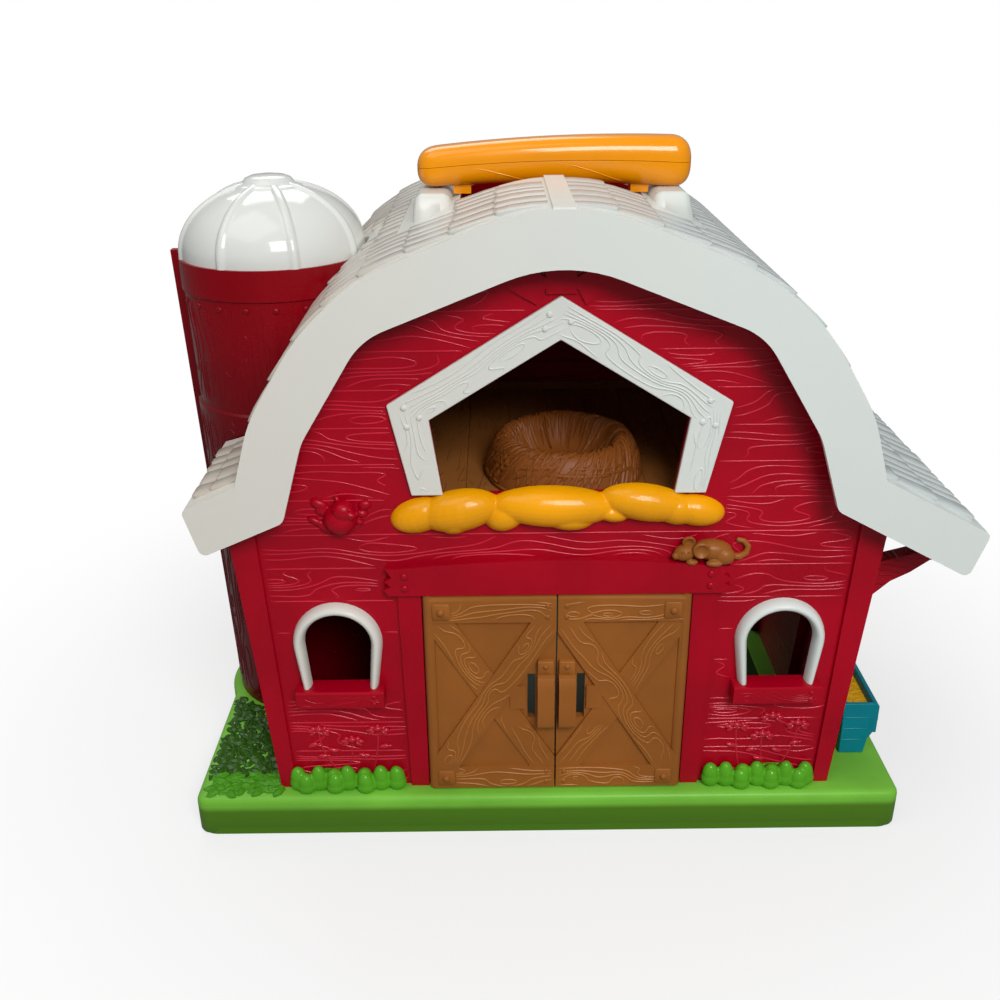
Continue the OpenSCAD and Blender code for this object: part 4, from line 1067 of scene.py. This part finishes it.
def addLeaf(points, faces, x, y, size, dice):
    turn = dice.uniform(0, 6.28)
    z = plan["baseTop"] - 0.35
    lift = dice.uniform(0.8, 1.9)
    tip = dice.uniform(0.2, 1.6)
    c, w = math.cos(turn), math.sin(turn)
    outline = [(-1, 0, 0.15), (-0.55, 0.46, 0.5), (0.1, 0.6, 0.7), (0.7, 0.34, 0.6), (1.1, 0, 0.35 + tip * 0.4),
               (0.7, -0.34, 0.6), (0.1, -0.6, 0.7), (-0.55, -0.46, 0.5)]
    n = len(outline)
    first = len(points)
    rings = [(u, v, z + h * lift) for u, v, h in outline] + [(u * 0.9, v * 0.9, z - 0.2) for u, v, h in outline]
    for u, v, height in rings + [(-0.35, 0, z + lift * 1.25), (0.4, 0, z + lift * 1.2)]:
        points.append((x + (u * c - v * w) * size, y + (u * w + v * c) * size, height))
    # the top is folded along two points on the leaf's rib
    r0, r1 = 2 * n, 2 * n + 1
    folds = ((0, 1, r0), (1, 2, r0), (3, 4, r1), (4, 5, r1), (6, 7, r0), (7, 0, r0), (2, 3, r1, r0), (5, 6, r0, r1))
    faces += [tuple(first + k for k in fold) for fold in folds]
    faces += tube(2, n, first)[:n]
    faces.append(tuple(range(first + 2 * n - 1, first + n - 1, -1)))


makeLeaves(leafFacts)
print("bushes and leaves")


# straw roll: overlapping bundles with creases between them
hayFacts = {
    "voxel": 0.55, "back": 1.0,
    "lumps": [(-59.0, 0.6, 162.6, 13.0, 8.2, 8.2, -16), (-42.0, -0.4, 164.9, 18.0, 9.8, 9.6, -10),
              (-44.0, 0, 161.2, 9.0, 8.8, 7.2, -12), (-22.5, 0.8, 162.4, 9.5, 8.6, 7.4, -24),
              (-2.0, -0.6, 166.4, 27.5, 10.0, 9.4, 2), (4.0, 0, 161.8, 12.5, 9.0, 6.4, 6),
              (22.0, 0.8, 163.4, 9.0, 7.6, 4.6, 14), (37.0, 0, 167.6, 20.0, 9.2, 8.6, 9),
              (50.0, 0.4, 164.4, 10.0, 8.2, 7.4, 10), (58.5, 0.6, 163.6, 13.0, 8.0, 7.4, 10)]}


def makeHay(facts):
    origin = (0, plan["wall"] + facts["back"], 0)
    hay = fused("strawRoll", facts["lumps"], facts["voxel"], "hayYellow", origin, plan["wall"] - 0.1, 3)
    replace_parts(hay, "hay_roll")


# nest: a low ring with strands that sweep over its rim
nestFacts = {"x": 4.5, "y": -60.5, "r": 35.5, "h": 19.0, "strands": 150, "rounds": 46, "seed": 17, "map": (30, 40),
             "profile": [(1.0, 0.0), (0.99, 0.2), (0.94, 0.5), (0.87, 0.8), (0.8, 0.96), (0.73, 1.0), (0.66, 0.9),
                         (0.58, 0.58), (0.46, 0.3), (0.3, 0.2)]}


# place on the nest: angle round it, share of the way from its outer foot to its bowl, height above
def onNest(facts, angle, share, h):
    line = facts["profile"]
    t = min(max(share, 0.0), 0.999) * (len(line) - 1)
    i = int(t)
    a, b = line[i], line[i + 1]
    along = ((b[0] - a[0]) * facts["r"], (b[1] - a[1]) * facts["h"])
    run = math.hypot(*along)
    r = (a[0] + (b[0] - a[0]) * (t - i)) * facts["r"] + along[1] / run * h
    z = (a[1] + (b[1] - a[1]) * (t - i)) * facts["h"] - along[0] / run * h
    wave = 1 + 0.015 * math.sin(5 * angle)
    floor = plan["loftZ"] + 0.1
    return (facts["x"] + r * wave * math.cos(angle), facts["y"] + r * wave * math.sin(angle), max(floor, floor + z))


# the strands are drawn on a flat map of the nest, scaled to about its size in mm
def makeNest(facts):
    count = 60
    rings = len(facts["profile"]) * 2
    points = [onNest(facts, 2 * math.pi * k / count, ring / (rings - 1), 0) for ring in range(rings)
              for k in range(count)]
    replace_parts(build("nestBowl", points, tube(rings, count), "nestBrown", barn, 60), "nest")
    dice = random.Random(facts["seed"])
    around, across = facts["map"]
    steps = [t / 14 for t in range(15)]
    strokes = []
    for k in range(facts["strands"]):
        start = 2 * math.pi * k / facts["strands"] + dice.uniform(-0.1, 0.1)
        span = dice.uniform(0.3, 0.75)
        low, high = dice.uniform(0.0, 0.25), dice.uniform(0.62, 0.98)
        bend = dice.uniform(0.05, 0.2)
        strokes.append([((start + span * t + bend * math.sin(math.pi * t)) * around,
                         (low + (high - low) * t) * across) for t in steps])
    for _ in range(facts["rounds"]):
        start, span, share = dice.uniform(0, 6.28), dice.uniform(0.5, 1.2), dice.uniform(0.02, 0.42)
        tilt = dice.uniform(-0.12, 0.12)
        strokes.append([((start + span * t) * around, (share + tilt * t) * across) for t in steps])
    threads("nestStrands", strokes, lambda u, v, h: onNest(facts, u / around, v / across, h), "nestBrown", half=0.85,
            rise=1.0, root=-0.4)


makeHay(hayFacts)
makeNest(nestFacts)
print("hay and nest")


# handle: two shells of a bowed bar with round ends, a seam between them and finger lines on its lower half
handleFacts = {"x": 1.5, "y": -5, "z": 294.3, "half": 62, "deep": 10.5, "tall": 10.0, "bow": 2.5, "round": 10,
               "power": 2.9, "ends": 2.6, "flare": 0.14, "rise": 0.8, "stations": 30, "count": 56, "gap": 0.09,
               "tabs": (-40.2, 40.2), "tabHalf": (4, 5), "tabZ": (281.8, 287), "lines": ((-36, -12), (6, 31)),
               "lineFrom": 184, "lineTurn": 46}


# how far the section is shrunk at x, and how high its middle lies
def handleSection(facts, x):
    past = max(0.0, (abs(x) - facts["half"] + facts["round"]) / facts["round"])
    shrink = (1 - min(past, 1.0) ** facts["ends"]) ** (1 / facts["ends"])
    share = x / facts["half"]
    return max(0.01, shrink), facts["z"] + facts["bow"] * (1 - share ** 2) + facts["rise"] * share


def onHandle(facts, x, angle, h=0.0):
    shrink, middle = handleSection(facts, x)
    c, w = math.cos(angle), math.sin(angle)
    p = 2 / facts["power"]
    y = (facts["deep"] * shrink + h) * math.copysign(abs(c) ** p, c)
    z = (facts["tall"] * (1 + facts["flare"] * x / facts["half"]) * shrink + h) * math.copysign(abs(w) ** p, w)
    return (facts["x"] + x, facts["y"] + y, middle + z - facts["rise"])


def makeHandle(facts):
    n = facts["stations"]
    stations = [facts["half"] * math.sin(math.pi / 2 * k / n) for k in range(-n, n + 1)]
    count = facts["count"]
    dx, dy = facts["tabHalf"]
    for name, side in (("Top", 1), ("Bottom", -1)):
        points = []
        for x in stations:
            seam = handleSection(facts, x)[1] - 0.4 + side * facts["gap"]
            for k in range(count):
                px, py, pz = onHandle(facts, x, 2 * math.pi * k / count)
                points.append((px, py, side * max(side * pz, side * seam)))
        faces = tube(len(stations), count)
        if side < 0:
            for x in facts["tabs"]:
                faces += tube(2, 4, len(points))
                points += [(x + cx * dx, facts["y"] + cy * dy, z) for z in facts["tabZ"]
                           for cx, cy in ((-1, -1), (1, -1), (1, 1), (-1, 1))]
        shell = build("handle" + name + "Body", points, faces, "handleOrange", barn, 50)
        apply(shell, "WEIGHTED_NORMAL", keep_sharp=True, weight=60)
        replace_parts(shell, "handle_" + name.lower())
    # a stroke's v counts round the bar in steps of four degrees, somewhat under a millimetre each
    lines = [[(x0 + (x1 - x0) * t / 16, (facts["lineFrom"] + facts["lineTurn"] * (t / 16) ** 1.6) / 4)
              for t in range(17)] for x0, x1 in facts["lines"]]
    threads("handleLines", lines, lambda u, v, h: onHandle(facts, u, math.radians(v * 4), h), "handleOrange",
            half=0.3, rise=0.25)


makeHandle(handleFacts)
print("handle")


# dome with half-round ribs and a stepped button
domeFacts = {"r": 43.0, "z": 256.7, "h": 30.0, "foot": 254.7, "ribs": 8, "ribHalf": 2.1, "ribUp": 1.25, "bare": 8,
             "count": 400, "rows": 34, "around": 48, "buttonZ": (290.2, 282.0),
             "button": [(4, 290.1), (8, 289.5), (10.6, 288.4), (11.6, 287.0), (12.4, 286.2), (14.6, 285.6),
                        (16.0, 284.7), (16.3, 283.6), (15.5, 282.6)]}


def makeDome(facts):
    count, rows = facts["count"], facts["rows"]
    pitch = 2 * math.pi / facts["ribs"]
    points = []
    for r in range(rows):
        a = math.pi / 2 * max(0, r - 1) / (rows - 1)
        radius = facts["r"] * math.cos(a)
        for k in range(count):
            turn = 2 * math.pi * k / count
            off = abs((turn / pitch) % 1 - 0.5) * pitch * radius
            up = 0
            if radius > facts["bare"]:
                up = facts["ribUp"] * max(0.0, 1 - (off / facts["ribHalf"]) ** 2) ** 0.6
            reach = radius + up * math.cos(a)
            z = facts["foot"] if r == 0 else facts["z"] + (facts["h"] + up) * math.sin(a)
            points.append((plan["silo"] + reach * math.cos(turn), reach * math.sin(turn), z))
    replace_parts(build("domeShell", points, tube(rows, count), "domeWhite", barn, 60), "silo_dome")
    around = facts["around"]
    points = [(plan["silo"] + radius * c, radius * w, z) for radius, z in facts["button"] for c, w in circle(around)]
    last = len(points)
    faces = tube(len(facts["button"]), around)[:-2] + fan(0, around, last) + fan(last - around, around, last + 1)
    points += [(plan["silo"], 0, z) for z in facts["buttonZ"]]
    build("domeButton", points, faces, "domeWhite", barn, 50)


makeDome(domeFacts)
print("dome")


# crisp moulded rim round the base; its profile gives how far in and how high
rimFacts = {"x": -3.5, "halfX": 166.5, "halfY": 110, "corner": 5.5,
            "profile": [(1.6, 0.05), (0.5, 0.5), (0.02, 1.6), (-0.05, 9), (0.0, 17.2), (0.3, 18.6), (1.0, 19.6),
                        (2.0, 20.25), (3.4, 20.53), (9.5, 20.53), (9.5, 19.0), (3.6, 17.6), (2.6, 16.0), (2.6, 1.0)]}


def makeRim(facts):
    points = []
    stations = corners(8)
    for cx, cy, c, w in stations:
        for inset, z in facts["profile"]:
            hub = max(facts["corner"], inset + 0.02)
            r = max(0.02, facts["corner"] - inset)
            points.append((facts["x"] + cx * (facts["halfX"] - hub) + r * c, cy * (facts["halfY"] - hub) + r * w, z))
    n = len(facts["profile"])
    faces = []
    for i in range(len(stations)):
        a, b = i * n, (i + 1) % len(stations) * n
        faces += [(a + k, b + k, b + (k + 1) % n, a + (k + 1) % n) for k in range(n)]
    build("baseRim", points, faces, "baseGreen", barn, 50)


makeRim(rimFacts)
print("rim of the base")


# rounded arms and plank joints of the trough
troughFacts = {"front": -80, "back": 4, "thick": 4, "joints": (28.5, 35.0, 41.5), "jointX": (142.6, 146, 150),
               "outer": [(159.0, 46.4), (159.2, 40), (158.2, 34), (155.8, 29.6), (152.8, 26.8)],
               "inner": [(150.8, 28.6), (152.8, 31.2), (154.5, 35), (155.2, 40), (155.2, 46.4)]}


def makeTrough(facts):
    outline = facts["outer"] + facts["inner"]
    n = len(outline)
    front, back, thick = facts["front"], facts["back"], facts["thick"]
    for name, y0, y1 in (("Front", front - 0.1, front + thick), ("Back", back - thick, back + 0.1)):
        points = [(x, y, z) for y in (y0, y1) for x, z in outline]
        faces = tube(2, n)[:n]
        for k in range(n // 2 - 1):
            faces.append((k, n - 1 - k, n - 2 - k, k + 1))
            faces.append((n + k + 1, 2 * n - 2 - k, 2 * n - 1 - k, n + k))
        arm = build("troughArm" + name, points, faces, "troughTeal", barn, 50)
        apply(arm, "BEVEL", width=0.6 * mm, segments=2, limit_method="ANGLE", angle_limit=math.radians(50))
    joints = [[(x, z) for x in (*facts["jointX"], 153.6 + (z - 20) * 0.12)] for z in facts["joints"]]
    threads("troughJoints", joints, onPlane(front), "troughTeal", half=0.4, rise=0.35)


makeTrough(troughFacts)
print("trough")


# camera as the photograph was taken: place in mm, turns in degrees
cameraFacts = {"place": (-25.38, -514.36, 357.48), "yaw": 0.101, "pitch": 24.42, "roll": -0.569, "focal": 1.07808}


def makeCamera(facts):
    yaw, pitch, roll = (math.radians(facts[k]) for k in ("yaw", "pitch", "roll"))
    ahead = Vector((math.sin(yaw) * math.cos(pitch), math.cos(yaw) * math.cos(pitch), -math.sin(pitch)))
    side = Vector((math.cos(yaw), -math.sin(yaw), 0))
    up = side.cross(ahead)
    right = side * math.cos(roll) + up * math.sin(roll)
    top = up * math.cos(roll) - side * math.sin(roll)
    data = bpy.data.cameras.new("photoCamera")
    data.sensor_width = 36
    data.lens = 36 * facts["focal"]
    camera = bpy.data.objects.new("photoCamera", data)
    turn = Matrix((right, top, -ahead)).transposed()
    camera.matrix_world = Matrix.Translation(Vector(facts["place"]) * mm) @ turn.to_4x4()
    data.clip_start = 0.01
    data.clip_end = 50
    bpy.context.scene.collection.objects.link(camera)
    bpy.context.scene.camera = camera


# floor and backdrop: white to the camera with the object's soft shadow, darker to the light that bounces
stageFacts = {"size": 8, "tone": 0.80, "glow": 0.6, "shadowFrom": 0.16, "shadowTo": 0.42, "hidden": 0.3,
              "sky": 0.27}


def makeStage(facts):
    deselect()
    bpy.ops.mesh.primitive_plane_add(size=facts["size"], location=(0, 0, 0))
    floor = bpy.context.object
    floor.name = "paleFloor"
    patch = Patch(bpy.data.materials.new("paleFloor"))
    tone = facts["tone"] + patch.noise(patch.place(), 6.0, 2.0) * 0.02
    pale = patch.add("ShaderNodeCombineColor", {}, {0: tone, 1: tone, 2: tone})
    lit = patch.add("ShaderNodeBsdfDiffuse", {}, {0: pale})
    glow = patch.add("ShaderNodeEmission", {}, {0: (1, 1, 1, 1), 1: 1.0})
    x, y, _ = patch.axes()
    away = (x * x + y * y).math("SQRT").smooth(facts["shadowFrom"], facts["shadowTo"])
    share = facts["glow"] + away * (1 - facts["glow"])
    seen = patch.add("ShaderNodeMixShader", {}, {0: share, 1: lit, 2: glow})
    hidden = patch.add("ShaderNodeBsdfDiffuse", {}, {0: (*[facts["hidden"]] * 3, 1)})
    patch.add("ShaderNodeOutputMaterial", {}, {0: patch.byRay(hidden, seen)})
    floor.data.materials.append(patch.owner)
    world = Patch(bpy.data.worlds.new("studio"))
    bpy.context.scene.world = world.owner
    sky, white = [world.add("ShaderNodeBackground", {}, {0: (1, 1, 1, 1), 1: power}) for power in (facts["sky"], 1.0)]
    world.add("ShaderNodeOutputWorld", {}, {0: world.byRay(sky, white)})


def addLamp(name, place, aim, size, power):
    data = bpy.data.lights.new(name, "AREA")
    data.shape = "RECTANGLE"
    data.size, data.size_y = size
    data.energy = power
    lamp = bpy.data.objects.new(name, data)
    lamp.location = place
    lamp.rotation_mode = "QUATERNION"
    lamp.rotation_quaternion = (Vector(aim) - Vector(place)).to_track_quat("-Z", "Y")
    bpy.context.scene.collection.objects.link(lamp)


makeCamera(cameraFacts)
makeStage(stageFacts)
addLamp("windowLight", (0.3, -1.15, 1.0), (0, 0, 0.15), (0.6, 0.5), 14.4)
addLamp("skyLight", (-0.45, -0.35, 1.25), (0, 0, 0.15), (0.9, 0.9), 4.2)
addLamp("backLight", (-0.3, 0.95, 1.3), (0, 0, 0.2), (0.9, 0.7), 6)
bpy.context.scene.view_settings.view_transform = "Standard"
print("camera, floor and lamps")
